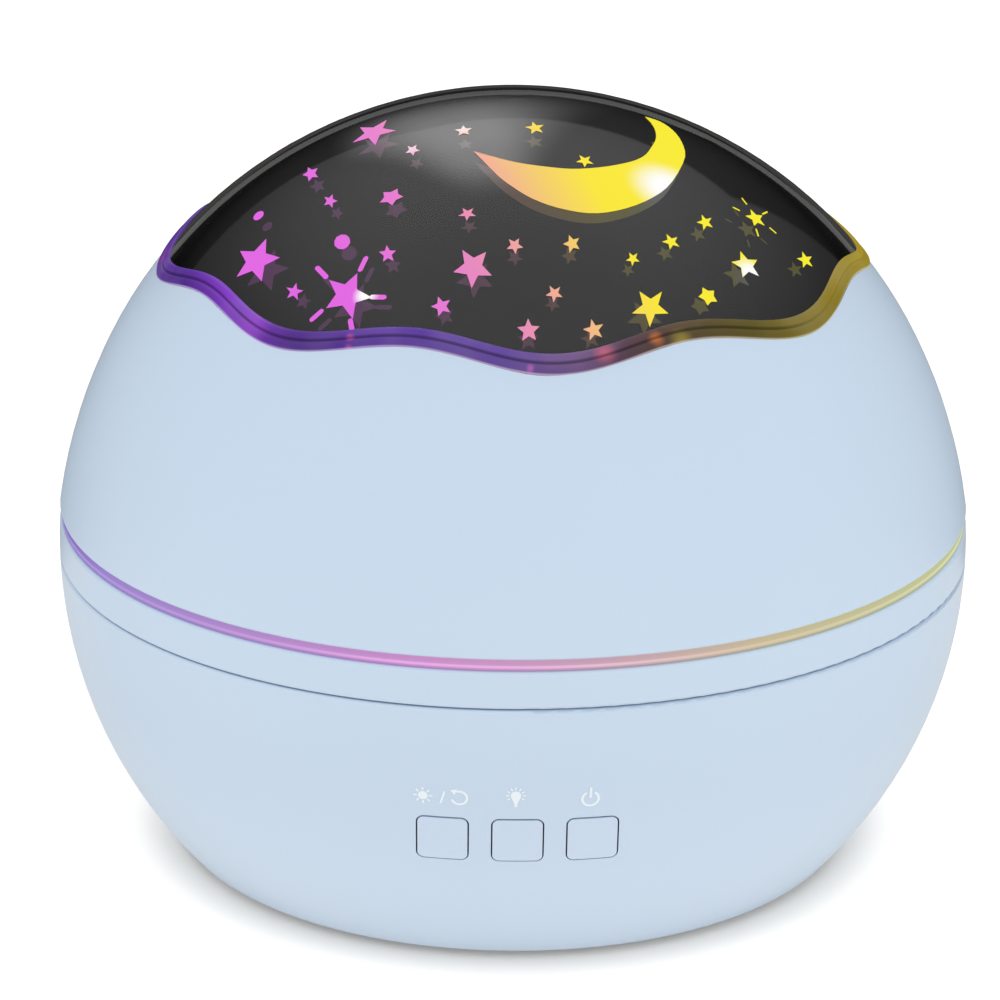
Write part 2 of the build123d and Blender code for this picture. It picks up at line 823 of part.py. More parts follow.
# Upper shell of the dome
with BuildPart() as shell_bosses:
    with BuildSketch(Plane.XY.offset(plate_top)):
        with PolarLocations(rotor_screw_reach, screw_count):
            Circle(rotor_boss_radius)
    extrude(amount=rotor_boss_height)
    # Webs from the bosses to the wall, above the light ring's lip.
    web_low = ring_top + lip_height + lift_gap
    with BuildSketch(Plane.XY.offset(web_low)):
        with PolarLocations(0, screw_count):
            with Locations(((rotor_screw_reach + dome_radius) / 2, 0)):
                Rectangle(dome_radius - rotor_screw_reach, web_wall)
    extrude(amount=plate_top + rotor_boss_height - web_low)
    with Locations((0, 0, centre_z)):
        Sphere(dome_radius - dome_wall / 2, mode=Mode.INTERSECT)
    with BuildSketch(Plane.XY.offset(plate_top)):
        with PolarLocations(rotor_screw_reach, screw_count):
            Circle(small_screw + screw_fit)
    extrude(amount=rotor_boss_height - blind_end, mode=Mode.SUBTRACT)

with BuildPart() as upper_shell:
    with BuildSketch(Plane.XZ) as shell_profile:
        dome_inner = dome_radius - dome_wall
        hoop_inner = lip_outer + pin_fit
        with BuildLine():
            outside = CenterArc((0, centre_z), dome_radius, skirt_angle, 90 - skirt_angle)
            inside = CenterArc((0, centre_z), dome_inner, skirt_angle, 90 - skirt_angle)
            flare = TangentArc(outside @ 0, (skirt_reach, ring_top), tangent=(outside % 0) * -1)
            hoop_top = hoop_inner, ring_top + lip_height + lift_gap
            TangentArc(inside @ 0, hoop_top, tangent=(inside % 0) * -1)
            Polyline(flare @ 1, (hoop_inner, ring_top), hoop_top)
            Line(inside @ 1, outside @ 1)
        make_face()
        fillet(shell_profile.vertices().sort_by(Axis.X)[-1], edge_round)
    revolve(axis=Axis.Z)
    add(shell_bosses.part)
    with BuildSketch(Plane.XY.offset(centre_z)):
        add(wavy_face(window_reach))
    extrude(amount=ball_radius + dome_radius, mode=Mode.SUBTRACT)

# Clear dome: flush in the wavy window, with a rim wall down to a flange behind the shell
with BuildPart() as dome_hollow:
    with BuildSketch(Plane.XY.offset(centre_z)):
        add(wavy_face(window_reach - part_gap - rim_wall))
    extrude(amount=2 * dome_radius)
    with Locations((0, 0, centre_z)):
        Sphere(dome_radius - window_wall, mode=Mode.INTERSECT)

# Fine groove along the middle of the window's rim, all the way round.
with BuildPart() as rim_groove:
    groove_outer = window_reach - part_gap - rim_groove_inset
    with BuildSketch(Plane.XY.offset(centre_z)):
        add(wavy_face(groove_outer))
        add(wavy_face(groove_outer - rim_groove_width), mode=Mode.SUBTRACT)
    extrude(amount=2 * dome_radius)
    with Locations((0, 0, centre_z)):
        Sphere(dome_radius - rim_groove_depth, mode=Mode.SUBTRACT)

with BuildPart() as clear_dome:
    flange_outer = dome_inner - part_gap
    flange_inner = flange_outer - flange_wall
    with BuildSketch(Plane.XZ):
        add(layer_face(dome_radius, flange_inner, 0, flange_reach))
    revolve(axis=Axis.Z)
    with BuildSketch(Plane.XY.offset(centre_z)):
        add(wavy_face(window_reach - part_gap))
    extrude(amount=2 * dome_radius, mode=Mode.INTERSECT)
    with BuildSketch(Plane.XZ):
        add(layer_face(flange_outer, flange_inner, 0, flange_reach))
    revolve(axis=Axis.Z)
    add(dome_hollow.part, mode=Mode.SUBTRACT)
    add(rim_groove.part, mode=Mode.SUBTRACT)

# Star film under the clear dome, and the clip ring that holds it up
with BuildPart() as star_film:
    film_outer = dome_radius - window_wall - part_gap
    film_inner = film_outer - film_wall
    with BuildSketch(Plane.XZ):
        add(layer_face(film_outer, film_inner, 0, window_reach))
    revolve(axis=Axis.Z)
    with BuildSketch(Plane.XY.offset(centre_z)):
        add(wavy_face(window_reach - 2 * part_gap - rim_wall))
    extrude(amount=2 * dome_radius, mode=Mode.INTERSECT)

with BuildPart() as film_clip:
    clip_outer = flange_inner - part_gap
    with BuildSketch(Plane.XZ):
        add(layer_face(clip_outer, clip_outer - clip_wall, clip_near, clip_far))
    revolve(axis=Axis.Z)
    with BuildSketch(Plane.XZ):
        add(layer_face(film_inner - part_gap, clip_outer - clip_wall, clip_near, clip_near + clip_lip))
    revolve(axis=Axis.Z)

with BuildPart() as rotor_screws:
    with Locations((0, 0, ring_top)):
        with PolarLocations(rotor_screw_reach, screw_count):
            add(single_small_screw)

# Lamp on the bearing's top: holder, board, four lamps and a clear cover
with BuildPart() as lamp_holder:
    with BuildSketch(Plane.XZ):
        with BuildLine():
            Polyline(
                (spigot_bore, spigot_top),
                (holder_radius, spigot_top),
                (holder_radius, holder_top + holder_rim),
                (holder_radius - holder_wall, holder_top + holder_rim),
                (holder_radius - holder_wall, holder_top),
                (spigot_bore, holder_top),
                close=True,
            )
        make_face()
    revolve(axis=Axis.Z)
    with BuildSketch(Plane.XY.offset(spigot_top)):
        with PolarLocations(lamp_screw_reach, screw_count, start_angle=lamp_turn):
            Circle(small_screw + screw_clear)
    extrude(amount=holder_wall, mode=Mode.SUBTRACT)

with BuildPart() as lamp_board:
    with BuildSketch(Plane.XY.offset(holder_top)):
        Circle(lamp_board_radius)
        with PolarLocations(lamp_screw_reach, screw_count, start_angle=lamp_turn):
            Circle(small_screw + screw_clear, mode=Mode.SUBTRACT)
    extrude(amount=board_wall)

lamp_screw_length = lamp_pilot + holder_wall + board_wall - board_margin
single_lamp_screw = make_screw(small_head, low_head_height, small_screw, lamp_screw_length)
with BuildPart() as lamp_screws:
    with Locations((0, 0, holder_top + board_wall)):
        with PolarLocations(lamp_screw_reach, screw_count, start_angle=lamp_turn):
            with Locations(Location((0, 0, 0), (180, 0, 0))):
                add(single_lamp_screw)

with BuildPart() as lamps:
    lamp_low = holder_top + board_wall
    lamp_places = [(0, 0)] + [
        (lamp_pitch * cos(radians(turn)), lamp_pitch * sin(radians(turn))) for turn in (30, 150, 270)
    ]
    with BuildSketch(Plane.XY.offset(lamp_low)):
        with Locations(*lamp_places):
            Circle(lamp_radius + lamp_flange)
    extrude(amount=lamp_foot)
    with BuildSketch(Plane.XY.offset(lamp_low)):
        with Locations(*lamp_places):
            Circle(lamp_radius)
    extrude(amount=lamp_height + lamp_radius)
    fillet(lamps.edges().group_by(Axis.Z)[-1], lamp_radius * lamp_crown_share)

with BuildPart() as lamp_cover:
    cover_outer = holder_radius - holder_wall - part_gap
    skirt_top = holder_top + lens_skirt
    with BuildSketch(Plane.XZ):
        with BuildLine():
            outside = CenterArc((0, skirt_top), cover_outer, 0, 90)
            inside = CenterArc((0, skirt_top), cover_outer - lens_wall, 0, 90)
            Polyline(
                outside @ 0,
                (cover_outer, holder_top),
                (cover_outer - lens_wall, holder_top),
                inside @ 0,
            )
            Line(outside @ 1, inside @ 1)
        make_face()
    revolve(axis=Axis.Z)

# Cell box over the bay in the floor, with round-topped troughs and the board's pillars
with BuildPart() as cell_box:
    box_width = bay_width + 2 * box_wall
    box_length = bay_length + 2 * box_wall
    cell_places = [(place - (cell_count - 1) / 2) * cell_pitch for place in range(cell_count)]
    with BuildSketch(Plane.XY.offset(floor_top)):
        RectangleRounded(box_width, box_length, box_corner)
    extrude(amount=box_top - floor_top)
    with BuildSketch(Plane.XY.offset(ear_low)):
        with Locations((-ear_reach, 0), (ear_reach, 0)):
            Circle(small_head + box_ear_round)
        Rectangle(2 * ear_reach, 2 * (small_head + box_ear_round))
    extrude(amount=box_ear_wall)
    with BuildSketch(Plane.XY.offset(box_top)):
        with Locations((-pillar_span, 0), (pillar_span, 0)):
            Circle(pillar_radius)
    extrude(amount=pillar_height)
    # Square mouth below, a round trough for each cell above.
    with BuildSketch(Plane.XY.offset(floor_top)):
        Rectangle(bay_width, bay_length)
    extrude(amount=cell_z + cell_cradle * cell_radius - floor_top, mode=Mode.SUBTRACT)
    with BuildSketch(Plane.XZ.offset(-bay_half)):
        with Locations(*[(place, cell_z) for place in cell_places]):
            Circle(cell_radius + cell_play)
    extrude(amount=bay_length, mode=Mode.SUBTRACT)
    # Slots for the door's hooks.
    hook_places = (-bay_width / 4, bay_width / 4)
    with BuildSketch(Plane.XY.offset(floor_top)):
        with Locations(*[(place, bay_half + box_wall / 2) for place in hook_places]):
            Rectangle(hook_width + hook_slot_room, 3 * box_wall)
    extrude(amount=hook_play + hook_wall + hook_slot_drop, mode=Mode.SUBTRACT)
    with BuildSketch(Plane.XY.offset(ear_low)):
        with Locations((-ear_reach, 0), (ear_reach, 0)):
            Circle(small_screw + screw_clear)
    extrude(amount=box_ear_wall, mode=Mode.SUBTRACT)
    with BuildSketch(Plane.XY.offset(box_top)):
        with Locations((-pillar_span, 0), (pillar_span, 0)):
            Circle(small_screw + screw_fit)
    extrude(amount=pillar_height, mode=Mode.SUBTRACT)

# Contacts: a flat plate at one end of each cell and a bowed leaf at the other, in turn
with BuildPart() as cell_contacts:
    leaf_rise = contact_rise - contact_wall
    leaf_radius = (leaf_rise**2 + contact_bow**2) / (2 * contact_bow)
    leaf_sweep = 2 * degrees(acos((leaf_radius - contact_bow - contact_wall / 2) / leaf_radius))
    for place, side in zip(cell_places, (1, -1, 1, -1)):
        for end in (1, -1):
            wall_y = end * (bay_half - contact_wall / 2)
            with BuildSketch(Plane.XY.offset(cell_z - contact_rise)):
                with Locations((place, wall_y)):
                    Rectangle(contact_width, contact_wall)
            extrude(amount=2 * contact_rise)
            face_y = end * (bay_half - contact_wall)
            if end == side:
                centre_y = face_y + end * (leaf_radius - contact_bow)
                start = 180 - leaf_sweep / 2 if end == 1 else -leaf_sweep / 2
                with BuildSketch(Plane.YZ.offset(place - contact_width / 3)):
                    with BuildLine():
                        bow = CenterArc((centre_y, cell_z), leaf_radius, start, leaf_sweep)
                        inner = CenterArc((centre_y, cell_z), leaf_radius - contact_wall, start, leaf_sweep)
                        Line(bow @ 0, inner @ 0)
                        Line(bow @ 1, inner @ 1)
                    make_face()
                extrude(amount=contact_width * 2 / 3)
            else:
                with BuildSketch(Plane.XZ.offset(-face_y)):
                    with Locations((place, cell_z)):
                        Circle(spring_radius)
                extrude(amount=end * spring_length)

with BuildPart() as box_screws:
    with Locations((-ear_reach, 0, ear_low + box_ear_wall), (ear_reach, 0, ear_low + box_ear_wall)):
        with Locations(Location((0, 0, 0), (180, 0, 0))):
            add(make_screw(small_head, head_height, small_screw, box_screw_length))

# Cell door: hooks at the rear edge, a snap latch at the front edge
with BuildPart() as cell_door:
    door_width = rebate_width - 2 * door_gap
    door_length = rebate_length - 2 * door_gap
    door_top = foot_stand + door_wall
    with BuildSketch(Plane.XY.offset(foot_stand)):
        RectangleRounded(door_width, door_length, door_corner - door_gap)
    extrude(amount=door_wall)
    hook_root = bay_half - door_ledge - hook_wall
    hook_low = floor_top + hook_play
    for place in hook_places:
        with BuildSketch(Plane.XY.offset(door_top)):
            with Locations((place, hook_root + hook_wall / 2)):
                Rectangle(hook_width, hook_wall)
        extrude(amount=hook_low + hook_wall - door_top)
        with BuildSketch(Plane.XY.offset(hook_low)):
            with Locations((place, hook_root + (hook_wall + hook_reach + door_ledge / 2) / 2)):
                Rectangle(hook_width, hook_wall + hook_reach + door_ledge / 2)
        extrude(amount=hook_wall)
    latch_face = -(bay_half - latch_gap)
    with BuildSketch(Plane.XY.offset(door_top)):
        with Locations((0, latch_face + latch_wall / 2)):
            Rectangle(latch_width, latch_wall)
    extrude(amount=latch_height)
    with BuildSketch(Plane.YZ.offset(-latch_width / 2)):
        with Locations((latch_face + latch_bead, floor_top + latch_lift)):
            Circle(2 * latch_bead)
    extrude(amount=latch_width)
    # Low ribs inside, which keep the cells off the door's face.
    with BuildSketch(Plane.XY.offset(door_top)):
        with GridLocations(0, cell_length / 2, 1, 2):
            Rectangle(bay_width - grip_margin, grip_width)
    extrude(amount=grip_depth)
    with BuildSketch(Plane.XY.offset(foot_stand)):
        with Locations((0, -rebate_length / 2)):
            Circle(notch_radius)
    extrude(amount=notch_depth, mode=Mode.SUBTRACT)

# Main board on the cell box, with its parts and the USB socket at the rear
board_rear = ball_reach(inner_radius, board_low) - main_board_back
with BuildPart() as main_board:
    with BuildSketch(Plane.XY.offset(board_low)):
        with Locations((0, (board_rear - main_board_front) / 2)):
            Rectangle(main_board_width, board_rear + main_board_front)
        Circle(ball_reach(inner_radius, board_low) - board_margin, mode=Mode.INTERSECT)
        with Locations((-pillar_span, 0), (pillar_span, 0)):
            Circle(small_screw + screw_clear, mode=Mode.SUBTRACT)
        with Locations((-rear_post_span, rear_post_y), (rear_post_span, rear_post_y)):
            Circle(small_screw + screw_clear, mode=Mode.SUBTRACT)
    extrude(amount=board_wall)

with BuildPart() as board_screws:
    with Locations((0, 0, board_top)):
        with Locations(
            (-pillar_span, 0, 0),
            (pillar_span, 0, 0),
            (-rear_post_span, rear_post_y, 0),
            (rear_post_span, rear_post_y, 0),
        ):
            with Locations(Location((0, 0, 0), (180, 0, 0))):
                add(make_screw(small_head, low_head_height, small_screw, board_screw_length))

with BuildPart() as board_parts:
    # Control chip, two smoothing capacitors and three plug housings.
    with BuildSketch(Plane.XY.offset(board_top)):
        with Locations((0, motor_reach)):
            Rectangle(chip_width, chip_length)
    extrude(amount=chip_height)
    with BuildSketch(Plane.XY.offset(board_top)):
        with Locations((-pillar_span, part_pitch), (pillar_span, part_pitch)):
            Circle(coil_radius)
    extrude(amount=coil_height)
    with BuildSketch(Plane.XY.offset(board_top)):
        with Locations((-part_pitch, -part_row), (0, -part_row), (part_pitch, -part_row)):
            Rectangle(part_width, part_length)
    extrude(amount=part_height)

with BuildPart() as usb_socket:
    usb_front = ball_reach(inner_radius, usb_z) - usb_inset
    with BuildSketch(Plane.XZ.offset(-usb_front)):
        with Locations((0, usb_z)):
            RectangleRounded(usb_width, usb_height, usb_corner)
    extrude(amount=usb_depth)
    with BuildSketch(Plane.XZ.offset(-usb_front)):
        with Locations((0, usb_z)):
            RectangleRounded(usb_width - 2 * usb_skin, usb_height - 2 * usb_skin, usb_mouth_corner)
    extrude(amount=usb_depth - usb_back, mode=Mode.SUBTRACT)
    with BuildSketch(Plane.XZ.offset(-usb_front + usb_tongue_front)):
        with Locations((0, usb_z + usb_tongue_rise)):
            Rectangle(usb_width * usb_tongue_share, usb_tongue_wall)
    extrude(amount=usb_depth - usb_tongue_back)

# Key board with three push switches
key_places = (-key_pitch, 0, key_pitch)
with BuildPart() as key_board:
    with BuildSketch(Plane.XZ.offset(key_board_front - board_wall)):
        with Locations((0, key_z)):
            Rectangle(key_board_width, key_board_height)
    extrude(amount=board_wall)

with BuildPart() as push_switches:
    with BuildSketch(Plane.XZ.offset(key_board_front)):
        with Locations(*[(place, key_z) for place in key_places]):
            Rectangle(switch_size, switch_size)
    extrude(amount=switch_height)
    with BuildSketch(Plane.XZ.offset(key_board_front + switch_height)):
        with Locations(*[(place, key_z) for place in key_places]):
            Circle(key_stem + pin_fit)
    extrude(amount=-(switch_height - switch_press), mode=Mode.SUBTRACT)

# Keys and the switch plungers behind them
keys = []
plungers = []
for place in key_places:
    with BuildPart() as key:
        with BuildSketch(Plane.XZ.offset(guide_y)):
            with Locations((place, key_z)):
                RectangleRounded(key_width, key_height, key_corner)
        extrude(amount=ball_radius)
        with Locations((0, 0, centre_z)):
            Sphere(ball_radius + key_stand, mode=Mode.INTERSECT)
        with BuildSketch(Plane.XZ.offset(guide_y)):
            with Locations((place, key_z)):
                RectangleRounded(key_width + 2 * key_flange, key_height + 2 * key_flange, key_corner)
        extrude(amount=-key_flange_wall)
        with BuildSketch(Plane.XZ.offset(guide_y - key_flange_wall)):
            with Locations((place, key_z)):
                Circle(key_stem)
        extrude(amount=-key_stem_length)
    keys.append(key.part)
    with BuildPart() as plunger:
        with BuildSketch(Plane.XZ.offset(switch_front + plunger_stand)):
            with Locations((place, key_z)):
                Circle(key_stem)
        extrude(amount=-(plunger_stand + switch_height - switch_press - key_travel - part_gap))
    plungers.append(plunger.part)

pieces = {
    "base_shell": base_shell.part,
    "rubber_feet": rubber_feet.part,
    "case_screws": case_screws.part,
    "deck": deck.part,
    "roller_pins": roller_pins.part,
    "gearbox": gearbox.part,
    "motor_can": motor_can.part,
    "motor_shaft": motor_shaft.part,
    "drive_pinion": drive_pinion.part,
    "motor_screws": motor_screws.part,
    "turntable": turntable.part,
    "light_ring": light_ring.part,
    "upper_shell": upper_shell.part,
    "clear_dome": clear_dome.part,
    "star_film": star_film.part,
    "film_clip": film_clip.part,
    "rotor_screws": rotor_screws.part,
    "lamp_holder": lamp_holder.part,
    "lamp_board": lamp_board.part,
    "lamp_screws": lamp_screws.part,
    "lamps": lamps.part,
    "lamp_cover": lamp_cover.part,
    "cell_box": cell_box.part,
    "cell_contacts": cell_contacts.part,
    "box_screws": box_screws.part,
    "cell_door": cell_door.part,
    "main_board": main_board.part,
    "board_screws": board_screws.part,
    "board_parts": board_parts.part,
    "usb_socket": usb_socket.part,
    "key_board": key_board.part,
    "push_switches": push_switches.part,
}
for name, key, plunger in zip(("left", "middle", "right"), keys, plungers):
    pieces["key_" + name] = key
    pieces["plunger_" + name] = plunger
for name, roller in zip(("right", "left", "front"), rollers):
    pieces["roller_" + name] = roller

for name, piece in pieces.items():
    piece.label = name
    export_step(piece, f"parts/{name}.step")
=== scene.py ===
import bpy
import math
from mathutils import Matrix, Vector


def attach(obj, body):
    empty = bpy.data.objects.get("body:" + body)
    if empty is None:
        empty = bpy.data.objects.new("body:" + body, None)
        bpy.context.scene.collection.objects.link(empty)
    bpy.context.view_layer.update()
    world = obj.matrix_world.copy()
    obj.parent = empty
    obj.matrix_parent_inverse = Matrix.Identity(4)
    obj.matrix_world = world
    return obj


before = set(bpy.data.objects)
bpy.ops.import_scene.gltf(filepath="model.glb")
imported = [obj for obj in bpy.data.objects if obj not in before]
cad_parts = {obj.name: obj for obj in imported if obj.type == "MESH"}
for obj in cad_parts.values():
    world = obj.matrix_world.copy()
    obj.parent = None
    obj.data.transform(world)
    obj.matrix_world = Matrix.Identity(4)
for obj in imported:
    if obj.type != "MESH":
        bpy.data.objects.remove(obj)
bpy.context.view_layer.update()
print("frame loaded with", len(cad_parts), "nodes")

# sizes that several pieces share, in metres
mm = 0.001
globe = {
    "centreZ": 0.043593,
    "bowl": 0.065,  # fixed lower half
    "dome": 0.0645,  # turning upper half and its window
    "film": 0.0629,  # black star film under the window
}
wave = {"reach": 0.04936, "height": 0.00104, "count": 8, "turn": math.radians(-84.4)}  # the window's edge
centre = Vector((0, 0, globe["centreZ"]))
white = (1, 1, 1, 1)
black = (0, 0, 0, 1)


def paint(code):
    # a colour written as on a colour card, as the linear values that Blender mixes
    parts = [int(code[place:place + 2], 16) / 255 for place in (0, 2, 4)]
    return tuple(p / 12.92 if p <= 0.04045 else ((p + 0.055) / 1.055) ** 2.4 for p in parts) + (1.0,)


def onGlobe(azimuth, latitude, radius):
    # azimuth in degrees from the front, which is -Y, towards +X
    turn, rise = math.radians(azimuth), math.radians(latitude)
    level = radius * math.cos(rise)
    height = globe["centreZ"] + radius * math.sin(rise)
    return Vector((level * math.sin(turn), -level * math.cos(turn), height))


def globeAxes(azimuth, latitude):
    # east, north and outward at a place on the globe
    turn = math.radians(azimuth)
    outward = (onGlobe(azimuth, latitude, 1.0) - centre).normalized()
    east = Vector((math.cos(turn), math.sin(turn), 0))
    return east, outward.cross(east), outward


def feed(tree, socket, value):
    if isinstance(value, Signal):
        tree.links.new(value.socket, socket)
    else:
        socket.default_value = value


def maths(operation, *values):
    # one Math node, in the tree of the signals among its values
    tree = next(value.tree for value in values if isinstance(value, Signal))
    node = tree.nodes.new("ShaderNodeMath")
    node.operation = operation
    for place, value in enumerate(values):
        feed(tree, node.inputs[place], value)
    return Signal(tree, node.outputs[0])


class Signal:
    # one output of a node; sums written with it add their Math nodes
    def __init__(self, tree, socket):
        self.tree = tree
        self.socket = socket

    def __add__(self, other):
        return maths("ADD", self, other)

    def __sub__(self, other):
        return maths("SUBTRACT", self, other)

    def __rsub__(self, other):
        return maths("SUBTRACT", other, self)

    def __mul__(self, other):
        return maths("MULTIPLY", self, other)

    def __truediv__(self, other):
        return maths("DIVIDE", self, other)

    def __rtruediv__(self, other):
        return maths("DIVIDE", other, self)

    def __pow__(self, other):
        return maths("POWER", self, other)

    def __gt__(self, other):
        return maths("GREATER_THAN", self, other)

    def __abs__(self):
        return maths("ABSOLUTE", self)

    __radd__ = __add__
    __rmul__ = __mul__


class Bench:
    # a node tree, shader or geometry, with one method that adds any node
    def __init__(self, tree):
        self.tree = tree
        tree.nodes.clear()

    def add(self, kind, settings=None, inputs=None, output=0):
        node = self.tree.nodes.new(kind)
        for name, value in (settings or {}).items():
            if name == "stops":
                self.setStops(node.color_ramp, value)
            else:
                setattr(node, name, value)
        for name, value in (inputs or {}).items():
            feed(self.tree, node.inputs[name], value)
        if node.outputs:
            return Signal(self.tree, node.outputs[output])

    def setStops(self, ramp, stops):
        while len(ramp.elements) < len(stops):
            ramp.elements.new(0.5)
        for element, (place, code) in zip(ramp.elements, stops):
            element.position = place
            element.color = paint(code)

    def others(self, signal, *outputs):
        # further outputs of the node that a signal comes from
        return [Signal(self.tree, signal.socket.node.outputs[name]) for name in outputs]

    def axis(self, vector, name):
        return self.add("ShaderNodeSeparateXYZ", {}, {0: vector}, name)

    def ramp(self, stops, share):
        return self.add("ShaderNodeValToRGB", {"stops": stops}, {"Fac": share})

    def mix(self, share, first, second):
        # of two colours, which are sockets 6 and 7 of a Mix node
        return self.add("ShaderNodeMix", {"data_type": "RGBA"}, {0: share, 6: first, 7: second}, 2)

    def smooth(self, value, low, high):
        # 0 below low, 1 above high, with a soft step between
        return self.add("ShaderNodeMapRange", {"interpolation_type": "SMOOTHSTEP"},
                        {"Value": value, "From Min": low, "From Max": high})


class Finish(Bench):
    # a procedural material; patterns read Object coordinates
    def __init__(self, name):
        self.material = bpy.data.materials.new(name)
        self.material.use_nodes = True
        super().__init__(self.material.node_tree)
        self.place = self.add("ShaderNodeTexCoord", output="Object")

    def noise(self, scale):
        return self.add("ShaderNodeTexNoise", {}, {"Vector": self.place, "Scale": scale, "Detail": 2.0})

    def cloudy(self, look):
        # a roughness that changes a little over the piece
        return self.noise(look["grain"]) * look["spread"] + look["rough"]

    def bump(self, height, distance):
        return self.add("ShaderNodeBump", {}, {"Height": height, "Distance": distance})

    def away(self, point):
        # how far the surface is from a point
        return self.add("ShaderNodeVectorMath", {"operation": "DISTANCE"},
                        {0: self.place, 1: tuple(point)}, "Value")

    def principled(self, **inputs):
        names = {name.replace("_", " "): value for name, value in inputs.items()}
        return self.add("ShaderNodeBsdfPrincipled", {}, names)

    def show(self, shader):
        self.add("ShaderNodeOutputMaterial", {}, {"Surface": shader})
        return self.material


def addMesh(name, vertices, faces):
    mesh = bpy.data.meshes.new(name)
    mesh.from_pydata([tuple(v) for v in vertices], [], faces)
    mesh.validate()
    piece = bpy.data.objects.new(name, mesh)
    bpy.context.scene.collection.objects.link(piece)
    return piece


def applyModifiers(piece):
    # the evaluated shape becomes the piece's plain mesh, with no modifier left on it
    shape = bpy.data.meshes.new_from_object(piece.evaluated_get(bpy.context.evaluated_depsgraph_get()))
    piece.modifiers.clear()
    piece.data = shape
    shape.name = piece.name
    return piece


def thicken(piece, thickness):
    # gives a thin sheet a back and edges, below its upper face
    solid = piece.modifiers.new("thickness", "SOLIDIFY")
    solid.thickness = thickness
    solid.offset = -1
    return applyModifiers(piece)


def startTree(name, floats, integers):
    # a geometry tree with named inputs, and a dictionary of their signals
    tree = bpy.data.node_groups.new(name, "GeometryNodeTree")
    for kind, names in (("Float", floats), ("Int", integers), ("Material", ("finish",))):
        for inputName in names:
            tree.interface.new_socket(inputName, in_out="INPUT", socket_type="NodeSocket" + kind)
    tree.interface.new_socket("Geometry", in_out="OUTPUT", socket_type="NodeSocketGeometry")
    bench = Bench(tree)
    everyName = (*floats, *integers, "finish")
    first = bench.add("NodeGroupInput")
    return bench, dict(zip(everyName, bench.others(first, *everyName)))


def unitGrid(bench, columns, rows):
    # a flat sheet to bend, with its two directions as signals from 0 to 1
    grid = bench.add("GeometryNodeMeshGrid", {}, {
        "Size X": 1.0, "Size Y": 1.0, "Vertices X": columns, "Vertices Y": rows})
    position = bench.add("GeometryNodeInputPosition")
    return grid, bench.axis(position, "X") + 0.5, bench.axis(position, "Y") + 0.5


def growPiece(name, tree, inputs):
    # runs a geometry tree on a new piece and keeps its result as a plain mesh
    piece = addMesh(name, [], [])
    grow = piece.modifiers.new("grow", "NODES")
    grow.node_group = tree
    for item in tree.interface.items_tree:
        if item.item_type == "SOCKET" and item.in_out == "INPUT":
            grow[item.identifier] = inputs[item.name]
    return applyModifiers(piece)


def mouldedPlastic(name, look):
    # faint colour clouds and the fine orange peel that an injection mould leaves
    finish = Finish(name)
    tone = finish.mix(finish.noise(look["cloud"]), paint(look["dark"]), paint(look["light"]))
    # painted light: paler towards the foot, where the floor shades it
    if "low" in look:
        height = finish.axis(finish.place, "Z")
        tone = finish.mix(finish.smooth(height, look["lowFrom"], 0), tone, paint(look["low"]))
    peel = finish.bump(finish.noise(look["grain"]), look["relief"])
    worn = finish.smooth(finish.noise(look["wear"]), look["wearFrom"], look["wearTo"])
    return finish.show(finish.principled(
        Base_Color=tone, Roughness=worn * look["spread"] + look["rough"], Normal=peel,
        Specular_IOR_Level=look["shine"]))


def turnedMetal(name, look):
    # faint tool marks, which cross the axis that the look stretches
    finish = Finish(name)
    stretched = finish.add("ShaderNodeMapping", {}, {"Vector": finish.place, "Scale": look["stretch"]})
    streaks = finish.add("ShaderNodeTexNoise", {}, {
        "Vector": stretched, "Scale": look["grain"], "Detail": 4.0})
    return finish.show(finish.principled(
        Base_Color=finish.mix(streaks, paint(look["dark"]), paint(look["light"])), Metallic=1.0,
        Roughness=streaks * look["spread"] + look["rough"], Normal=finish.bump(streaks, look["relief"])))


shellLook = {
    "dark": "c4d6ea",
    "light": "c8daed",
    "cloud": 14.0,
    "grain": 1500.0,
    "relief": 0.0000008,
    "wear": 42.0,
    "wearFrom": 0.3,
    "wearTo": 0.8,
    "rough": 0.3,
    "spread": 0.05,
    "shine": 0.16,
}
bowlLook = {**shellLook, "low": "d6e6f8", "lowFrom": 0.034}  # painted light: a shade paler towards the foot, where the floor shades it
keyLook = {**bowlLook, "dark": "c6d7ec", "light": "cadaef", "rough": 0.34}
whiteLook = {**shellLook, "dark": "dfe1e2", "light": "e8eaea", "rough": 0.45, "shine": 0.5}
plainLooks = {
    "shell_blue": bowlLook,
    "key_blue": keyLook,
    "inner_white": whiteLook,
    "gear_acetal": {**whiteLook, "dark": "e2dfd3", "light": "efece2", "rough": 0.38},
    "gearbox_plastic": {**whiteLook, "dark": "d8d8d2", "light": "e2e2dd", "rough": 0.5},
    "foot_rubber": {**whiteLook, "dark": "b4b9be", "light": "c3c8cc", "rough": 0.8, "relief": 0.00002},
    "board_white": {**whiteLook, "dark": "e4e8e6", "light": "eef1ef", "rough": 0.35},
    "board_green": {**whiteLook, "dark": "1c6b34", "light": "23783c", "rough": 0.35},
    "chip_black": {**whiteLook, "dark": "1b1b1e", "light": "26262a", "rough": 0.5},
}
metalLooks = {
    "motor_steel": {"dark": "a8abad", "light": "c4c7c9", "stretch": (1, 1, 14), "grain": 220.0,
                    "spread": 0.2, "rough": 0.22, "relief": 0.00001},
    "shaft_steel": {"dark": "b4b6b8", "light": "cfd1d3", "stretch": (1, 1, 20), "grain": 500.0,
                    "spread": 0.1, "rough": 0.15, "relief": 0.000005},
    "screw_steel": {"dark": "8f9194", "light": "b9bbbe", "stretch": (1, 1, 1), "grain": 900.0,
                    "spread": 0.25, "rough": 0.25, "relief": 0.00001},
    "contact_nickel": {"dark": "bdbcb4", "light": "d8d7d0", "stretch": (1, 18, 1), "grain": 260.0,
                       "spread": 0.15, "rough": 0.2, "relief": 0.000006},
}
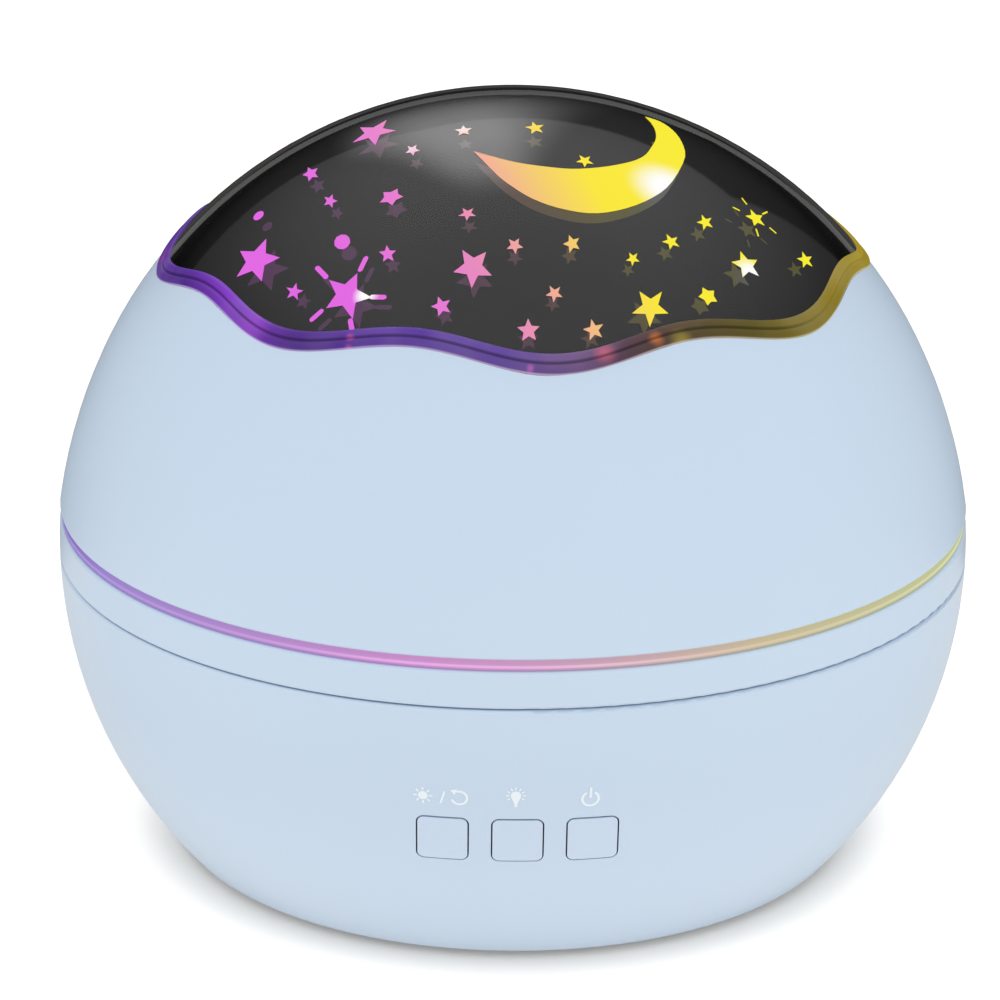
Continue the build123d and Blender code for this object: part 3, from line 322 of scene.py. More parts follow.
windowLook = {
    "tint": "fbfbfd",
    "ior": 1.5,
    "gloss": 0.02,
    # how far the window faces away, from 0 to 1, where its wall starts to show edge-on
    "edgeFrom": 0.74,
    "edgeTo": 0.768,  # closed before the film under it ends
    # painted reflection: dark and grey bands of the wall seen edge-on, by how far it faces away
    "wall": [(0.788, "101011"), (0.798, "6a6c6a"), (0.843, "6a6c6a"), (0.852, "1a1a1a"),
             (0.866, "1a1a1a"), (0.876, "2c2c2c")],
    "wallRough": 0.6,
    # where the gloss fades towards the outline, and by how much
    "fadeFrom": 0.9,
    "fadeTo": 0.97,
    "fade": 0.75,
}


def clearWindow(name, look):
    # clear head-on, mirroring as clear plastic does, and dark where the wall is seen edge-on, with painted
    # grey bands of reflection there
    finish = Finish(name)
    facing = finish.add("ShaderNodeLayerWeight", {}, {"Blend": 0.5}, "Facing")
    front = 1 - finish.add("ShaderNodeNewGeometry", output="Backfacing")
    edge = finish.smooth(facing, look["edgeFrom"], look["edgeTo"]) * front
    last = finish.smooth(facing, look["fadeFrom"], look["fadeTo"])
    mirror = finish.add("ShaderNodeFresnel", {}, {"IOR": look["ior"]}) * front * (1 - look["fade"] * last)
    through = finish.add("ShaderNodeBsdfTransparent", {}, {"Color": paint(look["tint"])})
    # the wall's painted reflection, in bands by how far the window faces away
    wall = finish.principled(
        Base_Color=finish.ramp(look["wall"], facing), Roughness=look["wallRough"], Specular_IOR_Level=0.0)
    gloss = finish.add("ShaderNodeBsdfGlossy", {}, {"Color": white, "Roughness": look["gloss"]})
    body = finish.add("ShaderNodeMixShader", {}, {0: edge, 1: through, 2: wall})
    return finish.show(finish.add("ShaderNodeMixShader", {}, {0: mirror, 1: body, 2: gloss}))


def clearPlastic(name, look):
    finish = Finish(name)
    return finish.show(finish.principled(
        Base_Color=paint(look["tint"]), Roughness=finish.cloudy(look), Transmission_Weight=1.0,
        IOR=look["ior"]))


clearLooks = {
    "cover_plastic": {"tint": "f0f2f6", "grain": 200.0, "spread": 0.1, "rough": 0.35, "ior": 1.45},
    "lamp_resin": {"tint": "f3f5f8", "grain": 300.0, "spread": 0.05, "rough": 0.08, "ior": 1.5},
}
filmLook = {"dark": "0b0b0d", "light": "101012", "cloud": 60.0, "grain": 25.0, "spread": 0.1, "rough": 0.5}


def filmBlack(look):
    # printed film, without a gloss of its own under the window
    finish = Finish("filmBlack")
    ink = finish.mix(finish.noise(look["cloud"]), paint(look["dark"]), paint(look["light"]))
    return finish.show(finish.principled(
        Base_Color=ink, Roughness=finish.cloudy(look), Specular_IOR_Level=0.0))


def sideways(finish):
    # the left-to-right place on the ball, from 0 to 1, which picks the colour of the lamps' light
    return finish.axis(finish.place, "X") / (2 * globe["bowl"]) + 0.5


litLook = {"body": "0c0c0c", "shine": 0.06}


def litPlastic(finish, glow, look):
    # plastic whose own light is nearly all that shows of it, under a faint gloss
    return finish.show(finish.principled(
        Base_Color=paint(litLook["body"]), Roughness=finish.cloudy(look), Emission_Color=glow,
        Specular_IOR_Level=litLook["shine"], Emission_Strength=look["strength"]))


def addPaintedGlint(finish, glow, place, core, reach, share, colour):
    # a painted glint of a lamp close behind the plastic, or a painted reflection: its colour is full within
    # the core and gone at the reach
    fading = finish.smooth(finish.away(place), core, reach)
    return finish.mix(share - share * fading, glow, colour)


ringLook = {
    # colours of the upper half, dulled by painted shade, and of the line, a painted highlight
    "upper": [(0.0, "7a66b4"), (0.07, "9a84cb"), (0.25, "b48cca"), (0.41, "cc90ca"), (0.58, "c8a2b6"),
              (0.75, "c8bb98"), (0.95, "c0c590")],
    "line": [(0.0, "9c86cc"), (0.07, "b094da"), (0.25, "cf9ee0"), (0.38, "ecaeea"), (0.5, "ecb4ea"),
             (0.58, "eac2d6"), (0.75, "dccbac"), (0.95, "d6d8b0")],
    "highlightLineZ": 0.04896,
    "highlightLineCore": 0.000076,
    "highlightLineReach": 0.000304,
    "grain": 300.0,
    "spread": 0.1,
    "rough": 0.3,
    "strength": 0.96,
}


def ringGlow(look):
    # frosted light pipe, coloured by the lamps behind it: a dull upper half with painted shade under the
    # shell, and a painted highlight as one bright line low down
    finish = Finish("ringGlow")
    side = sideways(finish)
    # painted highlight: one bright line at a height, over the shaded upper half
    fromLine = abs(finish.axis(finish.place, "Z") - look["highlightLineZ"])
    nearHighlightLine = 1 - finish.smooth(fromLine, look["highlightLineCore"], look["highlightLineReach"])
    glow = finish.mix(nearHighlightLine, finish.ramp(look["upper"], side), finish.ramp(look["line"], side))
    return litPlastic(finish, glow, look)


finishes = {slot: mouldedPlastic(slot, look) for slot, look in plainLooks.items()}
finishes.update({slot: turnedMetal(slot, look) for slot, look in metalLooks.items()})
finishes.update({slot: clearPlastic(slot, look) for slot, look in clearLooks.items()})
finishes["clear_plastic"] = clearWindow("clear_plastic", windowLook)
finishes["ring_glow"] = ringGlow(ringLook)
finishes["film_black"] = filmBlack(filmLook)
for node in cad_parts.values():
    for slot in node.material_slots:
        slot.material = finishes[slot.material.name.split(".")[0]]
print("finishes given to every moulded part")


# stars and a moon, printed on the window and lit from below, with painted reflections of them on the film,
# drawn as faint copies
stars = {
    # azimuth, latitude, width in millimetres, turn of a tip from north towards east, fullness, and how
    # much longer each is drawn the way the window curves away from the front
    "placed": [
        (-73.7, 71.4, 6.6, 35, 0.42, 1.4), (-32.2, 77.6, 2.5, 40, 0.46, 1.3),
        (-43.8, 71.3, 2.1, 65, 0.46, 1.5), (-67.7, 61.7, 2.4, 70, 0.5, 2.0),
        (-50.7, 59.4, 2.0, 55, 0.46, 1.7), (-34.9, 62.4, 3.4, 0, 0.6, 1.0),
        (-55.4, 48.3, 7.0, 55, 0.46, 1.3), (-27.2, 53.7, 2.4, 50, 0.46, 1.3),
        (-42.0, 46.1, 2.5, 60, 0.42, 1.3), (-31.3, 47.2, 6.6, 5, 0.46, 1.2),
        (-12.8, 61.2, 2.5, 30, 0.42, 1.0), (-9.1, 53.0, 5.4, 35, 0.46, 1.2),
        (-13.6, 47.3, 2.8, 45, 0.46, 1.1), (11.6, 79.4, 2.8, 70, 0.42, 1.4),
        (25.0, 70.7, 2.5, 60, 0.42, 1.2), (-1.0, 56.4, 2.3, 30, 0.46, 1.2),
        (11.3, 56.5, 2.4, 60, 0.46, 1.3), (33.4, 55.1, 2.6, 70, 0.42, 1.1),
        (45.3, 56.7, 2.4, 10, 0.42, 1.4), (23.1, 53.5, 1.9, 55, 0.42, 1.3),
        (60.4, 54.7, 3.2, 25, 0.46, 1.2), (63.2, 47.0, 2.6, 25, 0.42, 1.6),
        (46.9, 49.5, 4.5, 15, 0.46, 1.1), (34.6, 46.8, 2.9, 65, 0.6, 1.0),
        (22.9, 46.6, 5.1, 50, 0.42, 1.2), (6.2, 49.4, 2.4, 45, 0.42, 1.1),
        (1.4, 44.5, 3.1, 70, 0.46, 1.1), (12.1, 44.3, 2.9, 65, 0.42, 1.1),
    ],
    "tips": 5,
    "acrossTips": 1.902,  # the width of a star, in radii of its tips
    "narrow": 0.94,
    "dots": [(-66.9, 53.4, 0.9), (-38.7, 54.2, 1.2)],  # with their radius in millimetres
    "dotLong": 1.24,
    "dotFullness": 0.98,
    # both ends of each dash round two of the stars, and its width
    "dashes": [
        (-40.3, 49.9, -37.3, 49.0, 0.72), (-31.3, 52.6, -31.2, 50.9, 0.72),
        (-26.5, 47.5, -24.3, 47.7, 0.72), (-34.7, 44.5, -35.7, 43.2, 0.72),
        (-28.7, 44.0, -27.5, 42.5, 0.72), (63.4, 57.8, 62.6, 56.9, 0.24),
        (57.3, 57.3, 58.1, 56.6, 0.24), (64.1, 54.7, 66.3, 54.6, 0.24),
        (61.7, 52.7, 61.9, 51.8, 0.24), (57.3, 53.4, 56.1, 52.5, 0.24),
    ],
    "dashCorners": 5,  # at each round end
    "lift": 0.00006,
    "thick": 0.00003,
    # how far the prints and their painted reflections lean towards the front, in radians
    "lead": 0.0075,
    "reflectionLead": 0.027,
    "moonDimLead": 0.015,
    "moonDimLast": 0.84,  # where the moon's painted reflection ends, before its upper tip
}
printLook = {
    # the lamps' colours across the print, from low on the left to high on the right
    "colours": [(0.17, "e468e4"), (0.33, "e87cd2"), (0.44, "ea92b4"), (0.51, "f2ae96"), (0.59, "f5cf68"),
                (0.67, "fbe838"), (0.95, "f9ef30")],
    "colourRun": (12.5, 2.1, 5.9),  # how fast they pass along X, Y and Z, to a metre
    "colourStart": 0.007,
    # azimuth, latitude, reach in millimetres and share of white of painted highlights: a painted glare over
    # a lamp at the first three, and stars made paler under the dome's top highlight at the last two
    "spots": [(43.6, 63.0, 6.5, 1.0), (46.2, 48.2, 3.0, 1.0), (-27.5, 47.5, 2.2, 1.0),
              (-33.4, 77.9, 3.2, 0.6), (-44.3, 71.4, 2.8, 0.5)],
    "paintedSpotCore": 0.2,
    "unlit": "101011",
    "reflectionShare": 0.07,  # share of the print's colour in its painted reflection on the film
    "grain": 200.0,
    "spread": 0.1,
    "rough": 0.3,
    "strength": 0.98,
}
printRadius = globe["dome"] + stars["lift"]
reflectionRadius = globe["film"] + stars["lift"]
frontRise = math.radians(20)  # the front view looks down from this far above the level
frontward = Vector((0, -math.cos(frontRise), math.sin(frontRise)))


def frontAxes(outward):
    # at a place on the globe, the way that leads to the front, and across it
    toFront = (frontward - frontward.dot(outward) * outward).normalized()
    return toFront, outward.cross(toFront)


def fanFaces(start, count):
    return [(start, start + 1 + corner, start + 1 + (corner + 1) % count) for corner in range(count)]


def ontoGlobe(points, radius, lead=0.0):
    # points laid onto a globe, leaning towards the front by the lead
    laid = []
    for point in points:
        outward = (point - centre).normalized()
        aside = frontward - frontward.dot(outward) * outward
        laid.append(centre + radius * (outward + lead * aside).normalized())
    return laid


def starOutline(reach, fullness, azimuth, latitude, spin, long):
    # a star on the window: its middle, then its tips and notches in turn
    east, north, outward = globeAxes(azimuth, latitude)
    middle = onGlobe(azimuth, latitude, printRadius)
    toFront, across = frontAxes(outward)
    rim = []
    for corner in range(2 * stars["tips"]):
        angle = math.radians(spin - 180 * corner / stars["tips"])
        length = reach * (1 if corner % 2 == 0 else fullness)
        arm = length * (math.sin(angle) * east + math.cos(angle) * north)
        rim.append(middle + long * arm.dot(toFront) * toFront
                   + stars["narrow"] * arm.dot(across) * across)
    return [middle, *rim]


def dashOutline(first, last, width):
    # a stroke with round ends
    along = (last - first).normalized()
    outward = ((first + last) / 2 - centre).normalized()
    aside = outward.cross(along)
    rim = []
    for end, tilt in ((last, 0), (first, math.pi)):
        for corner in range(stars["dashCorners"]):
            angle = tilt - math.pi / 2 + corner * math.pi / (stars["dashCorners"] - 1)
            rim.append(end + width / 2 * (math.cos(angle) * along + math.sin(angle) * aside))
    return [(first + last) / 2, *rim]


def printStars(name, radius, lead):
    vertices, faces = [], []

    def lay(outline):
        faces.extend(fanFaces(len(vertices), len(outline) - 1))
        vertices.extend(ontoGlobe(outline, radius, lead))

    for azimuth, latitude, width, spin, fullness, long in stars["placed"]:
        reach = width / stars["acrossTips"] * mm
        lay(starOutline(reach, fullness, azimuth, latitude, spin, long))
    for azimuth, latitude, reach in stars["dots"]:
        lay(starOutline(reach * mm, stars["dotFullness"], azimuth, latitude, 0, stars["dotLong"]))
    for azimuthA, latitudeA, azimuthB, latitudeB, width in stars["dashes"]:
        first, last = onGlobe(azimuthA, latitudeA, printRadius), onGlobe(azimuthB, latitudeB, printRadius)
        lay(dashOutline(first, last, width * mm))
    return thicken(addMesh(name, vertices, faces), stars["thick"])


moon = {
    # azimuth and latitude along its lower and its upper edge, from the left tip to the right one
    "outer": [(-18.8, 73.1), (-7.0, 68.5), (-1.1, 66.0), (4.1, 64.0), (10.5, 62.3), (18.2, 61.1),
              (26.4, 61.2), (35.7, 62.1), (46.2, 63.7), (63.2, 66.5), (74.1, 68.4), (83.3, 70.1),
              (89.7, 71.8), (90.5, 73.8)],
    "inner": [(-18.8, 73.1), (-7.9, 72.0), (0.6, 71.0), (10.1, 70.1), (19.3, 69.3), (30.2, 69.0),
              (41.4, 69.0), (49.6, 69.4), (57.5, 70.3), (65.9, 71.1), (74.4, 72.0), (83.3, 73.0),
              (90.5, 73.8)],
    "steps": 40,
    "across": 6,
}


def along(line, share):
    # a smooth curve through points of the globe, by Catmull and Rom's rule
    points = [onGlobe(azimuth, latitude, 1.0) for azimuth, latitude in line]
    place = share * (len(points) - 1)
    start = min(int(place), len(points) - 2)
    t = place - start
    p = [points[max(0, min(len(points) - 1, start + k))] for k in (-1, 0, 1, 2)]
    return 0.5 * (2 * p[1] + (p[2] - p[0]) * t + (2 * p[0] - 5 * p[1] + 4 * p[2] - p[3]) * t * t
                  + (3 * p[1] - p[0] - 3 * p[2] + p[3]) * t ** 3)


def printMoon(name, radius, lead, last):
    # from the left tip as far as the last share of its length
    vertices, faces = [], []
    for step in range(moon["steps"] + 1):
        share = last * step / moon["steps"]
        near, far = along(moon["outer"], share), along(moon["inner"], share)
        row = [near.lerp(far, place / moon["across"]) for place in range(moon["across"] + 1)]
        vertices += ontoGlobe(row, radius, lead)
    width = moon["across"] + 1
    for step in range(moon["steps"]):
        for place in range(moon["across"]):
            corner = step * width + place
            faces.append((corner, corner + width, corner + width + 1, corner + 1))
    return thicken(addMesh(name, vertices, faces), stars["thick"])


# more stars, strewn over the back of the dome
scatter = {
    "seed": 11,
    "apart": 0.0062,
    "density": 520000.0,  # to a square metre, before those that stand too close go
    "least": 0.0009,  # radius of the tips
    "most": 0.0027,
    "favour": 2.2,  # how far the small ones outnumber the large
    "inner": 0.42,
    # azimuths and latitudes of the patch, in degrees
    "first": 95.0,
    "last": 268.0,
    "low": 45.5,
    "high": 84.0,
    "columns": 60,
    "rows": 24,
    "hidden": 0.05,  # how far the patch may face the front, where the placed stars are
}


def scatterTree():
    # points on a patch of the globe, a star on each, and all laid onto the globe
    bench, given = startTree(
        "scatterTree",
        ("first", "last", "low", "high", "apart", "density", "least", "most", "favour", "inner", "hidden",
         "radius", "centreZ"),
        ("columns", "rows", "tips", "seed"))
    grid, u, v = unitGrid(bench, given["columns"], given["rows"])
    turn = (given["first"] + u * (given["last"] - given["first"])) * (math.pi / 180)
    rise = (given["low"] + v * (given["high"] - given["low"])) * (math.pi / 180)
    level = given["radius"] * maths("COSINE", rise)
    spot = bench.add("ShaderNodeCombineXYZ", {}, {
        0: level * maths("SINE", turn), 1: -1 * level * maths("COSINE", turn),
        2: given["radius"] * maths("SINE", rise) + given["centreZ"]})
    patch = bench.add("GeometryNodeSetPosition", {}, {"Geometry": grid, "Position": spot})
    position = bench.add("GeometryNodeInputPosition")
    height = bench.axis(position, "Z") - given["centreZ"]
    facing = (frontward.y * bench.axis(position, "Y") + frontward.z * height) / given["radius"]
    points = bench.add("GeometryNodeDistributePointsOnFaces", {"distribute_method": "POISSON"}, {
        "Mesh": patch, "Selection": given["hidden"] > facing, "Distance Min": given["apart"],
        "Density Max": given["density"], "Seed": given["seed"]})
    (tilt,) = bench.others(points, "Rotation")
    outline = bench.add("GeometryNodeCurveStar", {}, {
        "Points": given["tips"], "Inner Radius": given["inner"], "Outer Radius": 1.0})
    star = bench.add("GeometryNodeFillCurve", {}, {"Curve": outline})
    spin = bench.add("FunctionNodeRandomValue", {"data_type": "FLOAT"}, {
        2: 0.0, 3: 2 * math.pi, "Seed": given["seed"] + 1}, 1)
    size = bench.add("FunctionNodeRandomValue", {"data_type": "FLOAT"}, {
        2: 0.0, 3: 1.0, "Seed": given["seed"] + 2}, 1)
    spinning = bench.add("FunctionNodeEulerToRotation", {}, {
        0: bench.add("ShaderNodeCombineXYZ", {}, {2: spin})})
    turned = bench.add("FunctionNodeRotateRotation", {"rotation_space": "LOCAL"}, {
        "Rotation": tilt, "Rotate By": spinning})
    placed = bench.add("GeometryNodeInstanceOnPoints", {}, {
        "Points": points, "Instance": star, "Rotation": turned,
        "Scale": given["least"] + size ** given["favour"] * (given["most"] - given["least"])})
    loose = bench.add("GeometryNodeRealizeInstances", {}, {"Geometry": placed})
    middle = bench.add("ShaderNodeCombineXYZ", {}, {2: given["centreZ"]})
    arm = bench.add("ShaderNodeVectorMath", {"operation": "SUBTRACT"}, {
        0: bench.add("GeometryNodeInputPosition"), 1: middle})
    length = bench.add("ShaderNodeVectorMath", {"operation": "LENGTH"}, {0: arm}, "Value")
    pulled = bench.add("ShaderNodeVectorMath", {"operation": "SCALE"}, {
        0: arm, "Scale": given["radius"] / length})
    laid = bench.add("GeometryNodeSetPosition", {}, {
        "Geometry": loose,
        "Position": bench.add("ShaderNodeVectorMath", {"operation": "ADD"}, {0: pulled, 1: middle})})
    made = bench.add("GeometryNodeSetMaterial", {}, {"Geometry": laid, "Material": given["finish"]})
    bench.add("NodeGroupOutput", {}, {"Geometry": made})
    return bench.tree


def litPrint(name, share):
    # the share is how much of the print's own light shows; the rest is black
    finish = Finish(name)
    order = finish.add("ShaderNodeVectorMath", {"operation": "DOT_PRODUCT"},
                       {0: finish.place, 1: printLook["colourRun"]}, "Value") - printLook["colourStart"]
    glow = finish.ramp(printLook["colours"], order)
    # painted highlights: glare over the lamps, and stars made paler under the top highlight
    for azimuth, latitude, reach, highlightShare in printLook["spots"]:
        place = onGlobe(azimuth, latitude, printRadius)
        core = printLook["paintedSpotCore"] * reach * mm
        glow = addPaintedGlint(finish, glow, place, core, reach * mm, highlightShare, white)
    return litPlastic(finish, finish.mix(share, paint(printLook["unlit"]), glow), printLook)


def wear(piece, finish, body):
    piece.data.materials.clear()
    piece.data.materials.append(finish)
    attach(piece, body)


starLight = litPrint("starLight", 1.0)
# the ink of the painted reflections on the film
starDim = litPrint("starDim", printLook["reflectionShare"])
layers = (
    # layer, radius, lead of the stars and of the moon, end of the moon, ink and slot
    ("Print", printRadius, stars["lead"], stars["lead"], 1.0, starLight, "ring_glow"),
    ("Shade", reflectionRadius, stars["reflectionLead"], stars["moonDimLead"], stars["moonDimLast"], starDim,
     "film_black"),
)
for layer, radius, lead, moonLead, moonLast, ink, slotName in layers:
    wear(printStars("star" + layer, radius, lead), ink, "dome")
    wear(printMoon("moon" + layer, radius, moonLead, moonLast), ink, "dome")
    sprinkle = growPiece("scatter" + layer, scatterTree(), {
        **scatter, "tips": stars["tips"], "radius": radius, "centreZ": globe["centreZ"], "finish": ink})
    wear(thicken(sprinkle, stars["thick"]), ink, "dome")
print("stars and moon printed")


# the window's lit rim: two rolled beads that follow the wavy edge, with a groove between them
rim = {
    "width": 0.0020,
    "crown": 0.0005,  # height of the beads
    "fullness": 0.7,  # below 1 they are fuller than a sine
    "sink": 0.0001,
    "thick": 0.0004,
    "weld": 0.000001,  # closes the seam where the strip meets itself
    "around": 960,
    "across": 28,
}


def rimTree():
    # a strip along the wavy edge, bent onto the globe and swelled into the beads
    bench, given = startTree(
        "rimTree",
        ("reach", "waveHeight", "waveCount", "waveTurn", "width", "crown", "fullness", "sink", "weld",
         "radius", "centreZ"),
        ("around", "across"))
    # the strip is 0 at the shell and 1 at the film
    grid, u, strip = unitGrid(bench, given["around"], given["across"])
    marked = bench.add("GeometryNodeStoreNamedAttribute", {"data_type": "FLOAT", "domain": "POINT"},
                       {"Geometry": grid, "Name": "strip", "Value": strip})
    turn = u * (2 * math.pi)
    phase = given["waveCount"] * (turn - given["waveTurn"])
    level = given["reach"] + given["waveHeight"] * maths("COSINE", phase) - strip * given["width"]
    swell = abs(maths("SINE", strip * (2 * math.pi))) ** given["fullness"]
    skin = given["radius"] + swell * given["crown"] - given["sink"]
    out = level / given["radius"] * skin
    rise = (skin * skin - out * out) ** 0.5
    spot = bench.add("ShaderNodeCombineXYZ", {}, {
        0: out * maths("COSINE", turn), 1: out * maths("SINE", turn), 2: rise + given["centreZ"]})
    bent = bench.add("GeometryNodeSetPosition", {}, {"Geometry": marked, "Position": spot})
    joined = bench.add("GeometryNodeMergeByDistance", {}, {"Geometry": bent, "Distance": given["weld"]})
    smoothed = bench.add("GeometryNodeSetShadeSmooth", {}, {"Geometry": joined})
    real = bench.add("GeometryNodeRealizeInstances", {}, {"Geometry": smoothed})
    made = bench.add("GeometryNodeSetMaterial", {}, {"Geometry": real, "Material": given["finish"]})
    bench.add("NodeGroupOutput", {}, {"Geometry": made})
    return bench.tree


rimLook = {
    "colours": [(0.12, "5a2f98"), (0.15, "522c92"), (0.2, "863cca"), (0.27, "55318e"), (0.36, "5c36a2"),
                (0.48, "6448a0"), (0.56, "6c4c84"), (0.61, "5c4450"), (0.66, "5c4c36"), (0.74, "645a26"),
                (0.81, "8a7824"), (0.87, "a8921c")],
    # pale colours from left to right, for the flecks and for the painted highlight along the shell
    "edge": [(0.3, "d8c2ee"), (0.6, "dccad4"), (0.8, "dcd8b0")],
    # paler flecks of the edge's colour
    "fleck": 0.08,
    "fleckGrain": 110.0,
    "fleckFrom": 0.4,
    "fleckTo": 0.7,
    # azimuth, latitude, reach in millimetres, colour and strength of painted glints: the lamps' glints in
    # the plastic, and the star dashes reflected in it
    "glints": [
        (-46.0, 40.0, 4.5, "a050d8", 0.8), (-27.3, 41.7, 0.9, "d860c0", 0.8),
        (-27.0, 40.4, 0.8, "d860c0", 0.7), (1.5, 39.5, 0.8, "f07ce0", 0.9),
        (13.0, 41.0, 2.1, "d87088", 0.75), (21.8, 42.2, 1.5, "e08048", 0.8),
        (26.0, 41.6, 2.2, "c8b44c", 0.5), (-88.0, 40.0, 2.6, "8a3c9a", 0.8),
    ],
    # places across the strip, from 0 at the shell to 1 at the film, of the painted shade in the groove and
    # on the outer bead and of the painted highlight along the shell, with their strengths
    "groove": 0.54,
    "grooveCore": 0.02,
    "grooveReach": 0.1,
    "grooveShade": 0.5,
    "outerFrom": 0.48,
    "outerTo": 0.6,
    "outerBeadShade": 0.14,
    "hairFrom": 0.03,
    "hairTo": 0.09,
    "hairHighlight": 0.8,
    "hairTint": 0.35,
    # places from left to right where the groove's painted shade runs out, and by how much
    "endFrom": 0.76,
    "endTo": 0.82,
    "end": 0.8,
    "grain": 90.0,
    "spread": 0.1,
    "rough": 0.3,
    "strength": 0.92,
}


def rimGlow(look):
    # pale by the film, then painted shade in a dark groove and on a darker outer bead, and a painted
    # highlight as a pale line along the shell
    finish = Finish("rimGlow")
    strip = finish.add("ShaderNodeAttribute", {"attribute_name": "strip"}, output="Fac")
    side = sideways(finish)
    edge = finish.ramp(look["edge"], side)
    flecks = finish.smooth(finish.noise(look["fleckGrain"]), look["fleckFrom"], look["fleckTo"])
    glow = finish.mix(flecks * look["fleck"], finish.ramp(look["colours"], side), edge)
    # painted glints, and painted reflections of the dashes
    for azimuth, latitude, reach, colour, share in look["glints"]:
        place = onGlobe(azimuth, latitude, globe["dome"])
        glow = addPaintedGlint(finish, glow, place, 0, reach * mm, share, paint(colour))
    # painted shade: the groove and the outer bead are mixed towards black
    groove = 1 - finish.smooth(abs(strip - look["groove"]), look["grooveCore"], look["grooveReach"])
    lasting = 1 - look["end"] * finish.smooth(side, look["endFrom"], look["endTo"])
    outer = 1 - finish.smooth(strip, look["outerFrom"], look["outerTo"])
    glow = finish.mix(outer * look["outerBeadShade"] + groove * lasting * look["grooveShade"], glow, black)
    # painted highlight: a pale line along the shell's edge
    paintedHighlightLine = 1 - finish.smooth(strip, look["hairFrom"], look["hairTo"])
    glow = finish.mix(paintedHighlightLine * look["hairHighlight"], glow, finish.mix(look["hairTint"], edge, glow))
    return litPlastic(finish, glow, look)


rimFinish = rimGlow(rimLook)
rimPiece = growPiece("windowRim", rimTree(), {
    **rim, "reach": wave["reach"], "waveHeight": wave["height"], "waveCount": wave["count"],
    "waveTurn": wave["turn"], "radius": globe["dome"], "centreZ": globe["centreZ"], "finish": rimFinish})
wear(thicken(rimPiece, rim["thick"]), rimFinish, "dome")
print("window rim rolled")


# signs printed in white above the keys; their own sizes are in millimetres and degrees
signs = {
    "lift": 0.00003,
    "thick": 0.00002,
    "arcSteps": 28,
    "pinhole": 0.001,  # at the middle of a disc
    # azimuth and latitude of the middle of each
    "sun": (-11.3, -12.05),
    "slash": (-8.95, -12.15),
    "arrow": (-6.95, -12.1),
    "bulb": (-0.25, -11.8),
    "power": (8.6, -12.05),
    "sunDisc": 0.66,
    "sunRays": {"count": 8, "first": 0, "apart": 45, "near": 0.8, "far": 1.28, "width": 0.26},
    "slashStroke": {"first": (-0.32, -1.0), "last": (0.32, 1.0), "width": 0.28},
    "arrowArc": {"near": 0.86, "far": 1.2, "first": -165, "last": 112},
    "arrowHead": [(-1.2, 1.2), (-0.25, 1.38), (-0.62, 0.42)],
    "bulbMiddle": (0, 0.25),
    "bulbDisc": 0.7,
    "bulbNeck": [(-0.6, -0.1), (-0.22, -1.05), (-0.2, -1.6), (0.2, -1.6), (0.22, -1.05), (0.6, -0.1)],
    "bulbRays": {"count": 9, "first": -30, "apart": 30, "near": 0.86, "far": 1.32, "width": 0.2},
    "powerMiddle": (0, -0.25),
    "powerRing": {"near": 0.92, "far": 1.26, "first": 118, "last": 422},
    "powerStroke": {"first": (0, -0.1), "last": (0, 1.55), "width": 0.32},
}


def polar(middle, reach, degrees):
    angle = math.radians(degrees)
    return middle[0] + reach * math.cos(angle), middle[1] + reach * math.sin(angle)


class Signs:
    # flat shapes on the bowl, in millimetres east and north of a place on it
    def __init__(self):
        self.vertices = []
        self.faces = []

    def put(self, place, outline):
        east, north, outward = globeAxes(*place)
        middle = centre + outward * globe["bowl"]
        start = len(self.vertices)
        spots = [middle + (x * east + y * north) * mm for x, y in outline]
        self.vertices += ontoGlobe(spots, globe["bowl"] + signs["lift"])
        return start

    def shape(self, place, outline):
        start = self.put(place, outline)
        self.faces.append(tuple(range(start, start + len(outline))))

    def stroke(self, place, first, last, width):
        # with blunt ends
        (x0, y0), (x1, y1) = first, last
        run = math.hypot(x1 - x0, y1 - y0)
        ex, ey = (y1 - y0) / run * width / 2, -(x1 - x0) / run * width / 2
        self.shape(place, [
            (x0 + ex, y0 + ey), (x1 + ex, y1 + ey), (x1 - ex, y1 - ey), (x0 - ex, y0 - ey)])

    def rays(self, place, middle, count, first, apart, near, far, width):
        for ray in range(count):
            angle = first + apart * ray
            self.stroke(place, polar(middle, near, angle), polar(middle, far, angle), width)

    def arc(self, place, middle, near, far, first, last):
        outline = []
        for step in range(signs["arcSteps"] + 1):
            angle = first + (last - first) * step / signs["arcSteps"]
            outline += [polar(middle, near, angle), polar(middle, far, angle)]
        start = self.put(place, outline)
        for step in range(signs["arcSteps"]):
            corner = start + 2 * step
            self.faces.append((corner, corner + 1, corner + 3, corner + 2))

    def disc(self, place, middle, reach):
        self.arc(place, middle, signs["pinhole"], reach, 0, 360)


def printSigns():
    sheet = Signs()
    sheet.disc(signs["sun"], (0, 0), signs["sunDisc"])
    sheet.rays(signs["sun"], (0, 0), **signs["sunRays"])
    sheet.stroke(signs["slash"], **signs["slashStroke"])
    sheet.arc(signs["arrow"], (0, 0), **signs["arrowArc"])
    sheet.shape(signs["arrow"], signs["arrowHead"])
    sheet.disc(signs["bulb"], signs["bulbMiddle"], signs["bulbDisc"])
    sheet.shape(signs["bulb"], signs["bulbNeck"])
    sheet.rays(signs["bulb"], signs["bulbMiddle"], **signs["bulbRays"])
    sheet.arc(signs["power"], signs["powerMiddle"], **signs["powerRing"])
    sheet.stroke(signs["power"], **signs["powerStroke"])
    return thicken(addMesh("keySigns", sheet.vertices, sheet.faces), signs["thick"])


inkLook = {"dark": "e6f1fa", "light": "eef6fc", "cloud": 900.0, "grain": 500.0, "spread": 0.1, "rough": 0.5}


def whiteInk(look):
    finish = Finish("whiteInk")
    tone = finish.mix(finish.noise(look["cloud"]), paint(look["dark"]), paint(look["light"]))
    return finish.show(finish.principled(Base_Color=tone, Roughness=finish.cloudy(look)))


wear(printSigns(), whiteInk(inkLook), "base")
print("signs printed above the keys")


